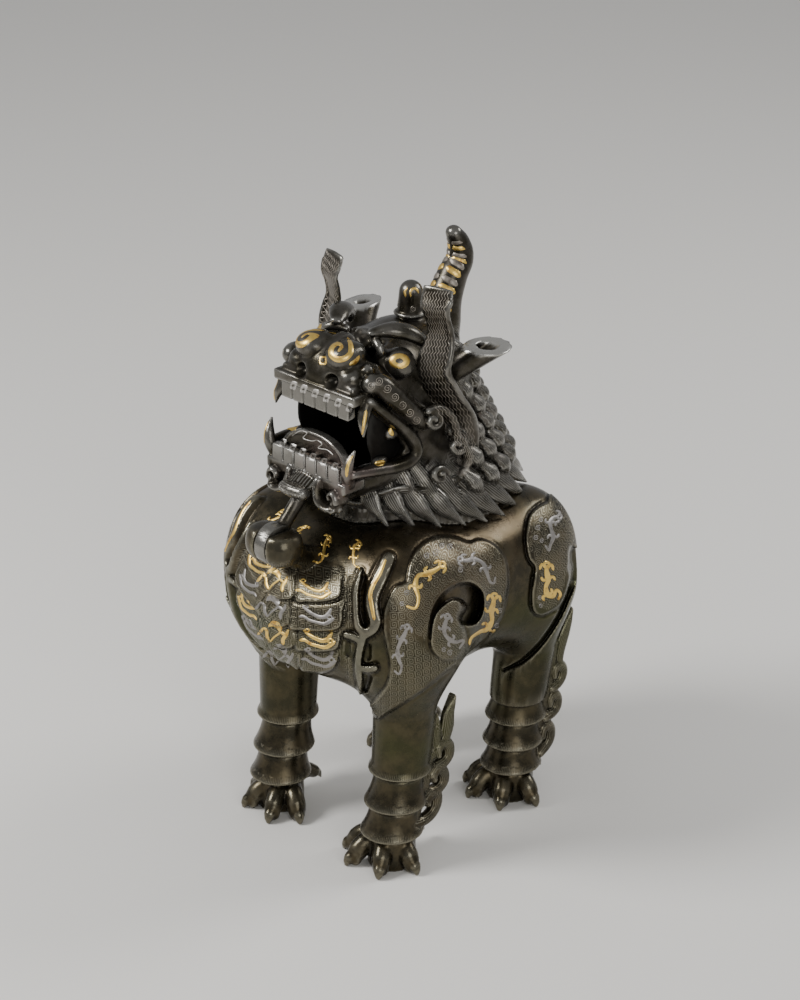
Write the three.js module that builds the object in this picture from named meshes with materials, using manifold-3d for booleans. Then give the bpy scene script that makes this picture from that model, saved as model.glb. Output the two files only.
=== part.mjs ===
// A bronze incense burner in the form of a luduan, a one-horned beast, after East Asian palace censers.
// Millimetres, +Z up. The beast faces -Y, and its left side is +X. It stands on its four feet at z = 0.
// Three pieces: the hollow body cast with its legs, the hollow head that is its lid, and the pin of the
// hinge on the chest that joins them.
import * as THREE from "three";
import { mergeVertices } from "three/addons/utils/BufferGeometryUtils.js";
import Module from "manifold-3d";

const wasm = await Module();
wasm.setup();

// Driving dimensions
const BODY_WALL = 7; // thickness of the cast body
const HEAD_WALL = 6; // thickness of the cast head
const SEAM = 0.5; // clearance between the head and the shoulders that it rests on
const NECK_RADII = [45, 58]; // half width and half length of the neck opening
const NECK_CENTRE_Y = 8;
const FRONT_SHIFT = 3.85; // moves the model along Y so that its box is centred
const SOLE = 4.3; // height in the drawing at which the feet are cut flat; the model is lowered by it

// The body is a blend of egg shapes: centre, radii and squareness
const BARREL = { centre: [0, 6, 188], radii: [83, 113, 61], power: 2.4 };
const CHEST = { centre: [0, -58, 197], radii: [62, 55, 52], power: 2.2 };
const BACK = { centre: [0, -2, 212], radii: [87, 84, 41], power: 2.6 };
const SHOULDER = { centre: [55, -50, 195], radii: [41, 47, 60], power: 2.2 };
const HAUNCH = { centre: [50, 70, 188], radii: [38, 46, 58], power: 2.2 };
const BODY_BLEND = 21;
const BODY_HEART = [0, 4, 190];
const BODY_DETAIL = 4; // fineness of the ball that the body is drawn out from
const FACET_GAIN = 0.6; // makes up for the flats between the ball's points
const PANEL_LIFT = 2; // height of the panels on the shoulders and haunches

// The head is another blend, before its mouth is cut
const SKULL = { centre: [0, 4, 338], radii: [44, 47, 42], power: 2 };
const SNOUT = { centre: [0, -42, 359], radii: [36, 36, 20], power: 2.4 };
const CHEEKS = { centre: [0, -24, 316], radii: [44, 42, 40], power: 2.2 };
const JAW = { centre: [0, -48, 291], radii: [39, 40, 15], power: 2.6 };
const MOUTH_FILL = { centre: [0, -46, 325], radii: [36, 34, 34], power: 2.6 };
const NECK = { from: [0, 13, 240], to: [0, 10, 322], radii: [64, 42], stretch: 1.2 };
const HEAD_BLEND = 12;
const HEAD_HEART = [0, -10, 322];

// Legs: axis of each leg at four heights with its radius, and the lower edges of its rings of loose skin
const FRONT_LEG = {
  axis: [[57, -63, 0], [57, -63, 30], [57, -54, 80], [58, -51, 132]],
  rings: [28, 50, 75],
  foot: [52, -61],
};
const REAR_LEG = {
  axis: [[53, 64, 0], [53, 65, 30], [53, 71, 80], [54, 77, 132]],
  rings: [28, 47, 67],
  foot: [50, 66],
};
const LEG_RADIUS = 19;
const RING_FLARE = 3.4;
const LEG_TOP = 138;
const TOE_ANGLES = [-62, -21, 32, 82];
const TOE_REACH = 32;
const DEWCLAW_REACH = 35;

// Hinge of the lid, on the chest
const HINGE = [0, -117, 252];
const HINGE_RADIUS = 14.5;
const PIN_RADIUS = 3;
const PIN_SIDES = 8;
const CENTRE_KNUCKLE = 5; // half width
const SIDE_KNUCKLE = 21; // half width over both

const bronze = new THREE.MeshStandardMaterial({ color: 0x3a3128, roughness: 0.42, metalness: 0.9 });
const paleBronze = new THREE.MeshStandardMaterial({ color: 0x4a4640, roughness: 0.38, metalness: 0.9 });
const pinBronze = new THREE.MeshStandardMaterial({ color: 0x2c2722, roughness: 0.4, metalness: 0.9 });

// Solids

// Merges a geometry's shared vertices, drops empty faces and turns its faces outwards.
function closed(geometry) {
  const bare = geometry.clone();
  bare.deleteAttribute("normal");
  bare.deleteAttribute("uv");
  const merged = mergeVertices(bare, 1e-3);
  const spots = merged.attributes.position.array;
  const corner = (i) => new THREE.Vector3(spots[3 * i], spots[3 * i + 1], spots[3 * i + 2]);
  let faces = [];
  let volume = 0;
  const index = merged.index.array;
  for (let i = 0; i < index.length; i += 3) {
    const [a, b, c] = [index[i], index[i + 1], index[i + 2]];
    if (a === b || b === c || c === a) continue;
    faces.push([a, b, c]);
    volume += corner(a).dot(corner(b).cross(corner(c)));
  }
  if (volume < 0) faces = faces.map(([a, b, c]) => [a, c, b]);
  return new wasm.Manifold(
    new wasm.Mesh({ numProp: 3, vertProperties: spots, triVerts: new Uint32Array(faces.flat()) }),
  );
}

const join = (solids) => solids.reduce((whole, piece) => whole.add(piece));

// A solid and its mirror image on the beast's other side.
function pair(geometry) {
  const other = geometry.clone().scale(-1, 1, 1);
  return closed(geometry).add(closed(other));
}

function meshOf(name, solid, material) {
  const { vertProperties, triVerts } = solid.getMesh();
  const geometry = new THREE.BufferGeometry();
  geometry.setAttribute("position", new THREE.BufferAttribute(vertProperties, 3));
  geometry.setIndex(new THREE.BufferAttribute(triVerts, 1));
  geometry.computeVertexNormals();
  const mesh = new THREE.Mesh(geometry, material);
  mesh.name = name;
  return mesh;
}

// Value of an evenly spaced list at t from 0 to 1.
function along(list, t) {
  const place = Math.min(Math.max(t, 0), 1) * (list.length - 1);
  const i = Math.min(Math.floor(place), list.length - 2);
  return list[i] + (list[i + 1] - list[i]) * (place - i);
}

const point = (xyz) => new THREE.Vector3(...xyz);
const curveThrough = (points) => new THREE.CatmullRomCurve3(points.map(point), false, "centripetal");

// A closed bar along a curve, oval in section. side points along its width, and widths and depths are
// half sizes along the way. bulge rounds its two ends off.
function bar(curve, { widths, depths, side, sides = 6, steps = 6, bulge = [0, 0] }) {
  const geometry = new THREE.SphereGeometry(1, sides, steps + 2);
  const spots = geometry.attributes.position;
  const turns = geometry.attributes.uv;
  for (let i = 0; i < spots.count; i++) {
    const row = Math.round((1 - turns.getY(i)) * (steps + 2));
    const t = Math.min(Math.max((row - 1) / steps, 0), 1);
    const onAxis = row === 0 || row === steps + 2;
    const forward = curve.getTangent(t);
    const across = point(side).addScaledVector(forward, -forward.dot(point(side))).normalize();
    const thick = forward.clone().cross(across);
    const angle = 2 * Math.PI * turns.getX(i);
    const spot = curve.getPoint(t);
    if (onAxis) spot.addScaledVector(forward, row === 0 ? -bulge[0] : bulge[1]);
    else {
      spot.addScaledVector(across, along(widths, t) * Math.cos(angle));
      spot.addScaledVector(thick, along(depths, t) * Math.sin(angle));
    }
    spots.setXYZ(i, spot.x, spot.y, spot.z);
  }
  return geometry;
}

function ball(centre, radii, around = 8, down = 6) {
  return new THREE.SphereGeometry(1, around, down).rotateX(Math.PI / 2).scale(...radii).translate(...centre);
}

function box(from, to) {
  const size = to.map((value, i) => value - from[i]);
  const middle = to.map((value, i) => (value + from[i]) / 2);
  return new THREE.BoxGeometry(...size).translate(...middle);
}

// Blended shapes

function blend(a, b, reach) {
  const mix = Math.max(reach - Math.abs(a - b), 0) / reach;
  return Math.min(a, b) - (mix * mix * reach) / 4;
}

// Distance from an egg's surface, measured along the line to its centre.
function egg(p, { centre, radii, power }) {
  const q = p.map((value, i) => value - centre[i]);
  const sum = q.reduce((total, value, i) => total + Math.abs(value / radii[i]) ** power, 0);
  const level = sum ** (1 / power) + 1e-9;
  return Math.hypot(...q) * (1 - 1 / level);
}

// Distance from a cone with round ends, longer along Y by its stretch.
function cone(p, { from, to, radii, stretch = 1 }) {
  const axis = to.map((value, i) => value - from[i]);
  const q = p.map((value, i) => (value - from[i]) / (i === 1 ? stretch : 1));
  const dot = q.reduce((total, value, i) => total + value * axis[i], 0);
  const t = Math.min(Math.max(dot / axis.reduce((total, value) => total + value * value, 0), 0), 1);
  return Math.hypot(...q.map((value, i) => value - t * axis[i])) - along(radii, t);
}

function hullField(p) {
  const q = [Math.abs(p[0]), p[1], p[2]];
  const trunk = blend(egg(q, BARREL), egg(q, BACK), 12);
  return [CHEST, SHOULDER, HAUNCH].reduce((d, part) => blend(d, egg(q, part), BODY_BLEND), trunk);
}

// The body's outside, with the roots of the four legs.
function bodyField(p) {
  const q = [Math.abs(p[0]), p[1], p[2]];
  const roots = [FRONT_LEG, REAR_LEG].map(({ axis }) => {
    const [low, high] = [axis[3], [axis[3][0], axis[3][1], 168]];
    return cone(q, { from: low, to: high, radii: [22.5, 31] });
  });
  return roots.reduce((d, root) => blend(d, root, 16), hullField(p));
}

function headField(p) {
  const masses = [SNOUT, CHEEKS, JAW, MOUTH_FILL].reduce(
    (d, part) => blend(d, egg(p, part), HEAD_BLEND),
    egg(p, SKULL),
  );
  return blend(masses, cone(p, NECK), HEAD_BLEND);
}

// Pushes an even ball out from a heart until it meets the field's level, which may vary with the place.
function inflated(field, heart, level, detail, reach = 220) {
  const levelAt = typeof level === "function" ? level : () => level;
  const geometry = new THREE.IcosahedronGeometry(1, detail);
  const spots = geometry.attributes.position;
  for (let i = 0; i < spots.count; i++) {
    const way = new THREE.Vector3().fromBufferAttribute(spots, i).normalize();
    let [near, far] = [5, reach];
    for (let step = 0; step < 24; step++) {
      const middle = (near + far) / 2;
      const spot = [heart[0] + way.x * middle, heart[1] + way.y * middle, heart[2] + way.z * middle];
      [near, far] = field(spot) < levelAt(spot) ? [middle, far] : [near, middle];
    }
    way.multiplyScalar(near).add(point(heart));
    spots.setXYZ(i, way.x, way.y, way.z);
  }
  return geometry;
}

// Height of the body's back at a place seen from above.
function backHeight(x, y) {
  let [low, high] = [190, 330];
  for (let step = 0; step < 24; step++) {
    const middle = (low + high) / 2;
    [low, high] = bodyField([x, y, middle]) < 0 ? [middle, high] : [low, middle];
  }
  return low;
}

// The body's side at a place seen from the front three-quarter, where s runs right and z up.
function onFlank(s, z) {
  let [near, far] = [0, 160];
  const spot = (depth) => [(s + depth) * Math.SQRT1_2, (s - depth) * Math.SQRT1_2, z];
  for (let step = 0; step < 24; step++) {
    const middle = (near + far) / 2;
    [near, far] = bodyField(spot(middle)) < 0 ? [middle, far] : [near, middle];
  }
  return spot(near);
}

// Body

// A raised panel of the body: an outline pushed along an axis and kept within a slightly larger body.
function panel(outline, shell, turn, reach = 130) {
  const shape = new THREE.Shape(outline.map(([s, z]) => new THREE.Vector2(s, z)));
  const geometry = new THREE.ExtrudeGeometry(shape, { depth: reach, bevelEnabled: false, curveSegments: 6 });
  geometry.rotateX(Math.PI / 2).rotateZ(turn);
  const other = geometry.clone().scale(-1, 1, 1);
  return [closed(geometry).intersect(shell), closed(other).intersect(shell)];
}

const SHOULDER_PANEL = [
  [-24, 156], [-21, 180], [-19, 212], [-15, 231], [-6, 246], [8, 249], [24, 246], [46, 235], [63, 230],
  [74, 219], [78, 204], [71, 184], [50, 166], [16, 152], [-16, 136],
];
const HAUNCH_PANEL = [
  [62, 242], [52, 234], [47, 222], [47, 208], [50, 203], [46, 192], [45, 174], [52, 165], [64, 169],
  [76, 178], [88, 190], [94, 206], [92, 222], [80, 238],
];

// Overlapping plates in rows down the chest: the lower edges of the rows at the middle
const CHEST_ROWS = [222, 204, 186, 168, 152];
const ROW_PITCH = 18;
const PLATE_WIDTH = 30;
const PLATE_DROP = 4;
const PLATE_LIFT = 3.6; // how far a plate's lower edge stands out
const PLATE_TUCK = 0.6; // and its upper edge
const CHEST_HALF_WIDTH = 46;

function chestRow(edge) {
  const top = edge + ROW_PITCH + PLATE_DROP;
  const outline = [[-CHEST_HALF_WIDTH, top], [-CHEST_HALF_WIDTH, edge + PLATE_DROP + 4]];
  for (const middle of [-PLATE_WIDTH, 0, PLATE_WIDTH]) {
    for (const step of [-0.42, 0, 0.42]) {
      const side = middle === 0 ? 0 : 3;
      outline.push([middle + step * PLATE_WIDTH, edge + side - PLATE_DROP * Math.cos(Math.PI * step)]);
    }
  }
  outline.push([CHEST_HALF_WIDTH, edge + PLATE_DROP + 4], [CHEST_HALF_WIDTH, top]);
  const shape = new THREE.Shape(outline.map(([x, z]) => new THREE.Vector2(x, z)));
  const slab = new THREE.ExtrudeGeometry(shape, { depth: 140, bevelEnabled: false });
  slab.rotateX(Math.PI / 2);
  const slope = ([, , z]) => {
    const rise = Math.min(Math.max((z - edge + PLATE_DROP) / (ROW_PITCH + PLATE_DROP), 0), 1);
    return PLATE_LIFT + (PLATE_TUCK - PLATE_LIFT) * rise;
  };
  return closed(slab).intersect(closed(inflated(bodyField, BODY_HEART, slope, 6)));
}

// The raised cord with its loop between the chest plates and the shoulder, as places on the flank.
function chestCord() {
  const loop = [
    [-27, 240], [-30, 224], [-29, 212], [-23, 207], [-16, 210], [-13, 222], [-14, 234], [-8, 246],
  ];
  const stem = [[-24, 207], [-26, 196], [-28, 180], [-29, 160], [-30, 147]];
  const cords = [[loop, 7], [stem, 2]].map(([places, steps]) => {
    const curve = curveThrough(places.map(([s, z]) => onFlank(s, z)));
    return pair(bar(curve, { widths: [4, 4.4, 3.6], depths: [5, 5, 4], side: [1, 1, 0], sides: 3, steps }));
  });
  return join(cords);
}

// The deep channel that curls round the shoulder's scroll.
function shoulderChannel() {
  const arc = [
    [22, 176], [18, 192], [21, 208], [30, 221], [42, 225], [54, 216], [58, 201], [54, 190], [48, 192],
  ];
  const curve = curveThrough(arc.map(([s, z]) => onFlank(s, z)));
  return pair(bar(curve, { widths: [1.5, 4, 5, 6, 5], depths: [1.5, 3.5, 4.5, 5, 4], side: [1, -1, 0],
    sides: 3, steps: 7 }));
}

// The channel that runs from the haunch's scroll down along the thigh.
function thighChannel() {
  const route = [[74, 100, 196], [80, 101, 204], [84, 96, 203], [87, 90, 190], [89, 80, 176], [86, 66, 160],
    [76, 55, 143], [66, 47, 134]];
  const curve = curveThrough(route);
  return pair(bar(curve, { widths: [4, 5, 4, 3, 2.4, 2], depths: [4, 5, 4, 3, 2.4, 2], side: [1, 0, 0],
    sides: 3, steps: 5 }));
}

// One leg: a column with rings of loose skin, each flaring down to its edge, cut flat at the ground.
function leg(shape) {
  const heights = [SOLE, ...shape.rings.flatMap((edge) => [edge, edge + 1.5]), LEG_TOP];
  const swell = [-1, ...shape.rings.flatMap(() => [-1, RING_FLARE]), 5];
  const sides = 8;
  const geometry = new THREE.CylinderGeometry(1, 1, 1, sides, heights.length - 1);
  const spots = geometry.attributes.position;
  for (let i = 0; i < spots.count; i++) {
    const place = (spots.getY(i) + 0.5) * (heights.length - 1);
    const z = along(heights, place / (heights.length - 1));
    const radius = LEG_RADIUS + along(swell, place / (heights.length - 1));
    const [cx, cy] = legAxisAt(shape, z);
    spots.setXYZ(i, cx + radius * spots.getX(i), cy + radius * spots.getZ(i), z);
  }
  return pair(geometry);
}

function legAxisAt({ axis }, z) {
  const last = axis.length - 2;
  let i = axis.findIndex((_, k) => k < last + 1 && z <= axis[k + 1]?.[2]);
  if (i < 0) i = last;
  const t = Math.max((z - axis[i][2]) / (axis[i + 1][2] - axis[i][2]), 0);
  return [0, 1].map((k) => axis[i][k] + (axis[i + 1][k] - axis[i][k]) * t);
}

// Four clawed toes spread to the front and one claw behind.
function toes({ foot: [cx, cy] }) {
  const spread = TOE_ANGLES.map((degrees) => {
    const angle = (degrees * Math.PI) / 180;
    const way = [Math.sin(angle), -Math.cos(angle)];
    const at = (reach, z) => [cx + reach * way[0], cy + reach * way[1], z];
    const curve = curveThrough([at(10, 19), at(21, 18), at(TOE_REACH - 3, 11), at(TOE_REACH, SOLE + 2)]);
    return bar(curve, { widths: [6, 6.6, 0.8], depths: [6, 7.5, 0.8], side: [way[1], -way[0], 0],
      sides: 4, steps: 2 });
  });
  const at = (reach, z) => [cx + 1, cy + reach, z];
  const back = curveThrough([at(10, 22), at(24, 20), at(DEWCLAW_REACH, 11)]);
  spread.push(bar(back, { widths: [5, 5, 0.8], depths: [5, 5, 0.8], side: [1, 0, 0], sides: 4, steps: 2 }));
  return join(spread.map(pair));
}

// A lock of hair behind a leg: a flame above a chain of curls, as a plate with a wavy outline in Y and Z.
function lock(outline, from, to) {
  const shape = new THREE.Shape(outline.map(([y, z]) => new THREE.Vector2(y, z)));
  const plate = new THREE.ExtrudeGeometry(shape, { depth: to - from, bevelEnabled: false });
  return pair(plate.rotateX(Math.PI / 2).rotateZ(Math.PI / 2).translate(from, 0, 0));
}

const FRONT_LOCK = [
  [-18, 126], [-17, 112], [-15, 100], [-17, 92], [-16, 84], [-18, 74], [-24, 69], [-21, 60], [-23, 53],
  [-29, 50], [-28, 42], [-31, 36], [-40, 31], [-55, 34], [-52, 60], [-44, 90], [-35, 98], [-31, 110],
];
const REAR_LOCK = [
  [112, 146], [111, 138], [106, 120], [104, 107], [106, 99], [103, 90], [98, 82], [101, 74], [99, 64],
  [92, 60], [95, 51], [91, 39], [80, 27], [66, 34], [72, 62], [80, 92], [90, 108], [97, 132],
];

// The rear surface of the body above a place.
function rumpAt(x, z) {
  let [near, far] = [0, 160];
  for (let step = 0; step < 24; step++) {
    const middle = (near + far) / 2;
    [near, far] = bodyField([x, middle, z]) < 0 ? [middle, far] : [near, middle];
  }
  return near;
}

// A low tail lying against the rump.
function tail() {
  const route = [[0, 217], [1, 205], [5, 190], [-3, 172], [4, 156]];
  const curve = curveThrough(route.map(([x, z]) => [x, rumpAt(x, z) + 1, z]));
  return closed(bar(curve, { widths: [4, 8, 9, 8, 1], depths: [3, 4, 4, 4, 1], side: [1, 0, 0], sides: 5,
    steps: 6 }));
}

// A lying cylinder along X.
function drum(radius, from, to, centre, sides = 12) {
  const geometry = new THREE.CylinderGeometry(radius, radius, to - from, sides).rotateZ(Math.PI / 2);
  return geometry.translate(centre[0] + (from + to) / 2, centre[1], centre[2]);
}

// Half a ball, domed outwards, on each side of the lid's knuckle, carried by a short root on the chest.
function sideKnuckles() {
  const inner = CENTRE_KNUCKLE + SEAM + 1;
  const dome = new THREE.SphereGeometry(1, 10, 6).rotateZ(Math.PI / 2);
  dome.scale(SIDE_KNUCKLE - inner, HINGE_RADIUS, HINGE_RADIUS).translate(inner, HINGE[1], HINGE[2]);
  const slab = closed(box([inner, -160, 200], [60, -60, 300]));
  const root = closed(box([inner, HINGE[1] + 2, HINGE[2] - 14], [inner + 9, HINGE[1] + 26, HINGE[2] + 4]));
  const near = closed(dome).intersect(slab).add(root);
  const mirroredDome = closed(dome.clone().scale(-1, 1, 1));
  const mirroredSlab = closed(box([-60, -160, 200], [-inner, -60, 300]));
  const mirroredRoot = closed(
    box([-inner - 9, HINGE[1] + 2, HINGE[2] - 14], [-inner, HINGE[1] + 26, HINGE[2] + 4]),
  );
  return near.add(mirroredDome.intersect(mirroredSlab).add(mirroredRoot));
}

// The neck opening, straight up through the back of the body.
function neckColumn(clearance, from, to, sides = 18) {
  const geometry = new THREE.CylinderGeometry(1, 1, to - from, sides).rotateX(Math.PI / 2);
  geometry.scale(NECK_RADII[0] + clearance, NECK_RADII[1] + clearance, 1);
  return closed(geometry.translate(0, NECK_CENTRE_Y, (from + to) / 2));
}

// Room for the lid's knuckle and its strap between the side knuckles, and for the pin.
function hingeRoom() {
  const half = CENTRE_KNUCKLE + 1;
  const round = closed(drum(HINGE_RADIUS + 1.5, -half, half, HINGE));
  return round.add(closed(drum(PIN_RADIUS + 0.3, -SIDE_KNUCKLE + 5.7, SIDE_KNUCKLE - 5.7, HINGE, PIN_SIDES)));
}

function burnerBody() {
  const shell = closed(inflated(bodyField, BODY_HEART, FACET_GAIN, BODY_DETAIL));
  const raised = closed(inflated(bodyField, BODY_HEART, PANEL_LIFT + FACET_GAIN, BODY_DETAIL));
  const cavity = closed(inflated(hullField, BODY_HEART, -BODY_WALL, 2));
  const rows = CHEST_ROWS.map(chestRow);
  const solid = join([
    shell,
    ...rows,
    ...panel(SHOULDER_PANEL, raised, Math.PI / 4),
    ...panel(HAUNCH_PANEL, raised, Math.PI / 2),
    chestCord(),
    leg(FRONT_LEG),
    leg(REAR_LEG),
    toes(FRONT_LEG),
    toes(REAR_LEG),
    lock(FRONT_LOCK, 67, 76),
    lock(REAR_LOCK, 63, 71),
    tail(),
    sideKnuckles(),
  ]);
  return solid
    .subtract(cavity)
    .subtract(neckColumn(0, 220, 330))
    .subtract(shoulderChannel())
    .subtract(thighChannel())
    .subtract(hingeRoom());
}

// Head

// Side profile of the open mouth, as places along Y and Z.
const MOUTH = [
  [-120, 349], [-66, 349], [-54, 344], [-42, 330], [-33, 316], [-36, 305], [-50, 298], [-66, 296],
  [-120, 296],
];

const MOUTH_REACH = 70; // half width of the cut, past both sides of the head

function mouthSpace() {
  const shape = new THREE.Shape(MOUTH.map(([y, z]) => new THREE.Vector2(y, z)));
  const geometry = new THREE.ExtrudeGeometry(shape, { depth: 2 * MOUTH_REACH, bevelEnabled: false });
  geometry.rotateX(Math.PI / 2).rotateZ(Math.PI / 2).translate(-MOUTH_REACH, 0, 0);
  return closed(geometry);
}

// The thin wall that closes each side of the mouth behind its fangs, set back from the lips.
const CHEEK_SKIN = [32.5, 36.5]; // its inner and outer distance from the middle
const SKIN_OUTLINE = [[-68, 353], [-54, 348], [-39, 334], [-29, 316], [-33, 302], [-50, 294], [-68, 292]];

function cheekSkins() {
  const shape = new THREE.Shape(SKIN_OUTLINE.map(([y, z]) => new THREE.Vector2(y, z)));
  const depth = CHEEK_SKIN[1] - CHEEK_SKIN[0];
  const plate = new THREE.ExtrudeGeometry(shape, { depth, bevelEnabled: false });
  return pair(plate.rotateX(Math.PI / 2).rotateZ(Math.PI / 2).translate(CHEEK_SKIN[0], 0, 0));
}

// A lip: a roll that runs from one corner of the mouth round the front to the other.
function lip(side, front, widths, depths) {
  const points = [...side, ...front, ...[...side].reverse().map(([x, y, z]) => [-x, y, z])];
  return closed(bar(curveThrough(points), { widths, depths, side: [0, 0, 1], sides: 4, steps: 10 }));
}

const TEETH = 6;
const TEETH_HALF_WIDTH = 32.5;
const UPPER_TEETH = { y: -74, from: 339, to: 351, lean: 0.1 };
const LOWER_TEETH = { y: -85, from: 294, to: 307, lean: -0.1 };

function lips() {
  const upper = lip(
    [[41, -27, 318], [42, -42, 335], [40, -56, 349], [37, -68, 354]],
    [[28, -75, 354], [0, -77, 355], [-28, -75, 354]],
    [3, 4.2, 4.4, 4.4, 4.2, 3], [4, 4, 3.6, 3.6, 4, 4],
  );
  const lower = lip(
    [[41, -27, 315], [42, -38, 298], [41, -56, 291], [38, -74, 290]],
    [[30, -85, 291], [0, -88, 292], [-30, -85, 291]],
    [3, 4.4, 4.6, 4.6, 4.4, 3], [4, 4, 3.6, 3.6, 4, 4],
  );
  return upper.add(lower);
}

// Six flat teeth side by side, with a groove between each two.
function teeth({ y, from, to, lean }) {
  const outline = [[TEETH_HALF_WIDTH, 3], [-TEETH_HALF_WIDTH, 3], [-TEETH_HALF_WIDTH, -2.5]];
  for (let i = 1; i < TEETH; i++) {
    const x = -TEETH_HALF_WIDTH + (2 * TEETH_HALF_WIDTH * i) / TEETH;
    outline.push([x - 0.8, -2.5], [x, -1.2], [x + 0.8, -2.5]);
  }
  outline.push([TEETH_HALF_WIDTH, -2.5]);
  const shape = new THREE.Shape(outline.map(([x, depth]) => new THREE.Vector2(x, depth)));
  const row = new THREE.ExtrudeGeometry(shape, { depth: to - from, bevelEnabled: false });
  return closed(row.translate(0, 0, (from - to) / 2).rotateX(lean).translate(0, y, (from + to) / 2));
}

function fang(base, tip, bend) {
  const middle = base.map((value, i) => (value + tip[i]) / 2 + bend[i]);
  const curve = curveThrough([base, middle, tip]);
  return pair(bar(curve, { widths: [3.6, 3, 0.5], depths: [3.6, 3, 0.5], side: [1, 0, 0], sides: 5,
    steps: 3 }));
}

// A curl of a scroll: a bar wound into a spiral in a plane close to the head's side.
function curl([x, y, z], size, start, turns, thickness, way = 1) {
  const places = [];
  const count = 8;
  for (let i = 0; i <= count; i++) {
    const angle = start + way * (i / count) * turns * 2 * Math.PI;
    const radius = size * (1 - (0.72 * i) / count);
    places.push([x + 0.12 * i, y + radius * Math.cos(angle), z + radius * Math.sin(angle)]);
  }
  const widths = [thickness, thickness, thickness * 0.7];
  const depths = [thickness, thickness * 0.9];
  return pair(bar(curveThrough(places), { widths, depths, side: [1, 0, 0], sides: 3, steps: 6 }));
}

function cheeks() {
  const roll = curveThrough([[39, -64, 363], [44, -50, 355], [49, -34, 342], [50, -20, 331]]);
  const thickness = [7.5, 6.4, 6, 5.4];
  const rollBar = pair(bar(roll, { widths: thickness, depths: thickness, side: [1, 0, 0], sides: 6,
    steps: 3, bulge: [5, 2] }));
  const flap = curveThrough([[36, -76, 282], [42, -60, 280], [45, -40, 277], [46, -22, 275], [44, -8, 277]]);
  const flapBar = pair(bar(flap, { widths: [2, 3, 3, 3, 2], depths: [6, 8, 8, 7, 4], side: [1, 0, 0],
    sides: 4, steps: 3 }));
  return join([
    rollBar,
    flapBar,
    curl([49, -17, 327], 8, 1.6, 0.9, 3.2, -1),
    curl([50, -9, 303], 8, 1.8, 0.9, 3.2, 1),
  ]);
}

function face() {
  const brow = curveThrough([[16, -33, 381], [22, -31, 386], [30, -26, 388], [38, -18, 383], [43, -9, 374]]);
  const browBar = pair(bar(brow, { widths: [5, 6, 6, 5, 2], depths: [4, 5, 5, 4, 2], side: [0, 1, 0],
    sides: 4, steps: 4 }));
  return join([
    browBar,
    pair(ball([33, -30, 367], [10.8, 10.8, 10.8])),
    closed(ball([0, -59, 368], [27, 17, 14])),
    pair(ball([13, -61, 376], [10, 10, 7.5], 6, 4)),
    pair(ball([22, -67, 362], [10, 9, 8], 6, 4)),
  ]);
}

function nostrils() {
  return pair(ball([14, -77, 363], [4.2, 5, 3.6], 6, 4));
}

function horn() {
  const curve = curveThrough([
    [0, 40, 352], [0, 45, 378], [0, 54, 397], [0, 62, 408], [0, 61, 420], [0, 56, 430],
  ]);
  return closed(bar(curve, { widths: [14, 14, 11.5, 9.5, 8, 5.5], depths: [16, 15, 12, 9.5, 8, 5.5],
    side: [1, 0, 0], sides: 8, steps: 7, bulge: [2, 5] }));
}

function bud() {
  const radii = [11.5, 11.5, 9.5, 9.5, 9, 6];
  const curve = curveThrough([[0, 13, 366], [0, 14, 400]]);
  const shape = bar(curve, { widths: radii, depths: radii, side: [1, 0, 0], sides: 8, steps: radii.length - 1,
    bulge: [0, 2] });
  return closed(shape);
}

// A wavy ribbon at each side of the head, from above the brow down to the jaw.
function ribbons() {
  const curve = curveThrough([
    [49, -6, 417], [50, -11, 404], [50, -8, 389], [50, -12, 376], [50, -15, 366], [50, -11, 352],
    [51, 1, 334], [52, 9, 319], [53, 14, 302], [52, 12, 287], [49, 2, 275], [46, -10, 270],
  ]);
  return pair(bar(curve, { widths: [9, 8.5, 8.5, 9, 10, 10, 9, 9, 9, 8, 5],
    depths: [1.6, 2.6, 3, 3, 3, 3, 3, 3, 3, 2.4], side: [1, 0.25, 0], sides: 4, steps: 9 }));
}

// Trumpet ears, pointing out and up and cut level, with a bore.
function ears() {
  const root = [40, 3, 349];
  const mouth = [60, 26, 371];
  const past = [71, 39, 383];
  const faceWay = new THREE.Vector3(0.13, 0, 0.99).normalize();
  const side = [-0.75, 0.66, 0];
  const tube = closed(bar(curveThrough([root, mouth, past]), { widths: [8, 12, 17], depths: [8, 10, 12],
    side, sides: 9, steps: 3 }));
  const bore = closed(bar(curveThrough([[50, 15, 360], mouth, past]), { widths: [4, 7, 10],
    depths: [4, 5.5, 7], side, sides: 6, steps: 2 }));
  const away = new THREE.BoxGeometry(80, 80, 40).translate(0, 0, 20);
  const up = new THREE.Vector3(0, 0, 1);
  away.applyQuaternion(new THREE.Quaternion().setFromUnitVectors(up, faceWay));
  const ear = tube.subtract(closed(away.translate(...mouth)));
  const mirrorOf = (solid) => {
    const { vertProperties, triVerts } = solid.getMesh();
    const geometry = new THREE.BufferGeometry();
    geometry.setAttribute("position", new THREE.BufferAttribute(vertProperties, 3));
    geometry.setIndex(new THREE.BufferAttribute(triVerts, 1));
    return closed(geometry.scale(-1, 1, 1));
  };
  return { tubes: ear.add(mirrorOf(ear)), bores: bore.add(mirrorOf(bore)) };
}

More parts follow.
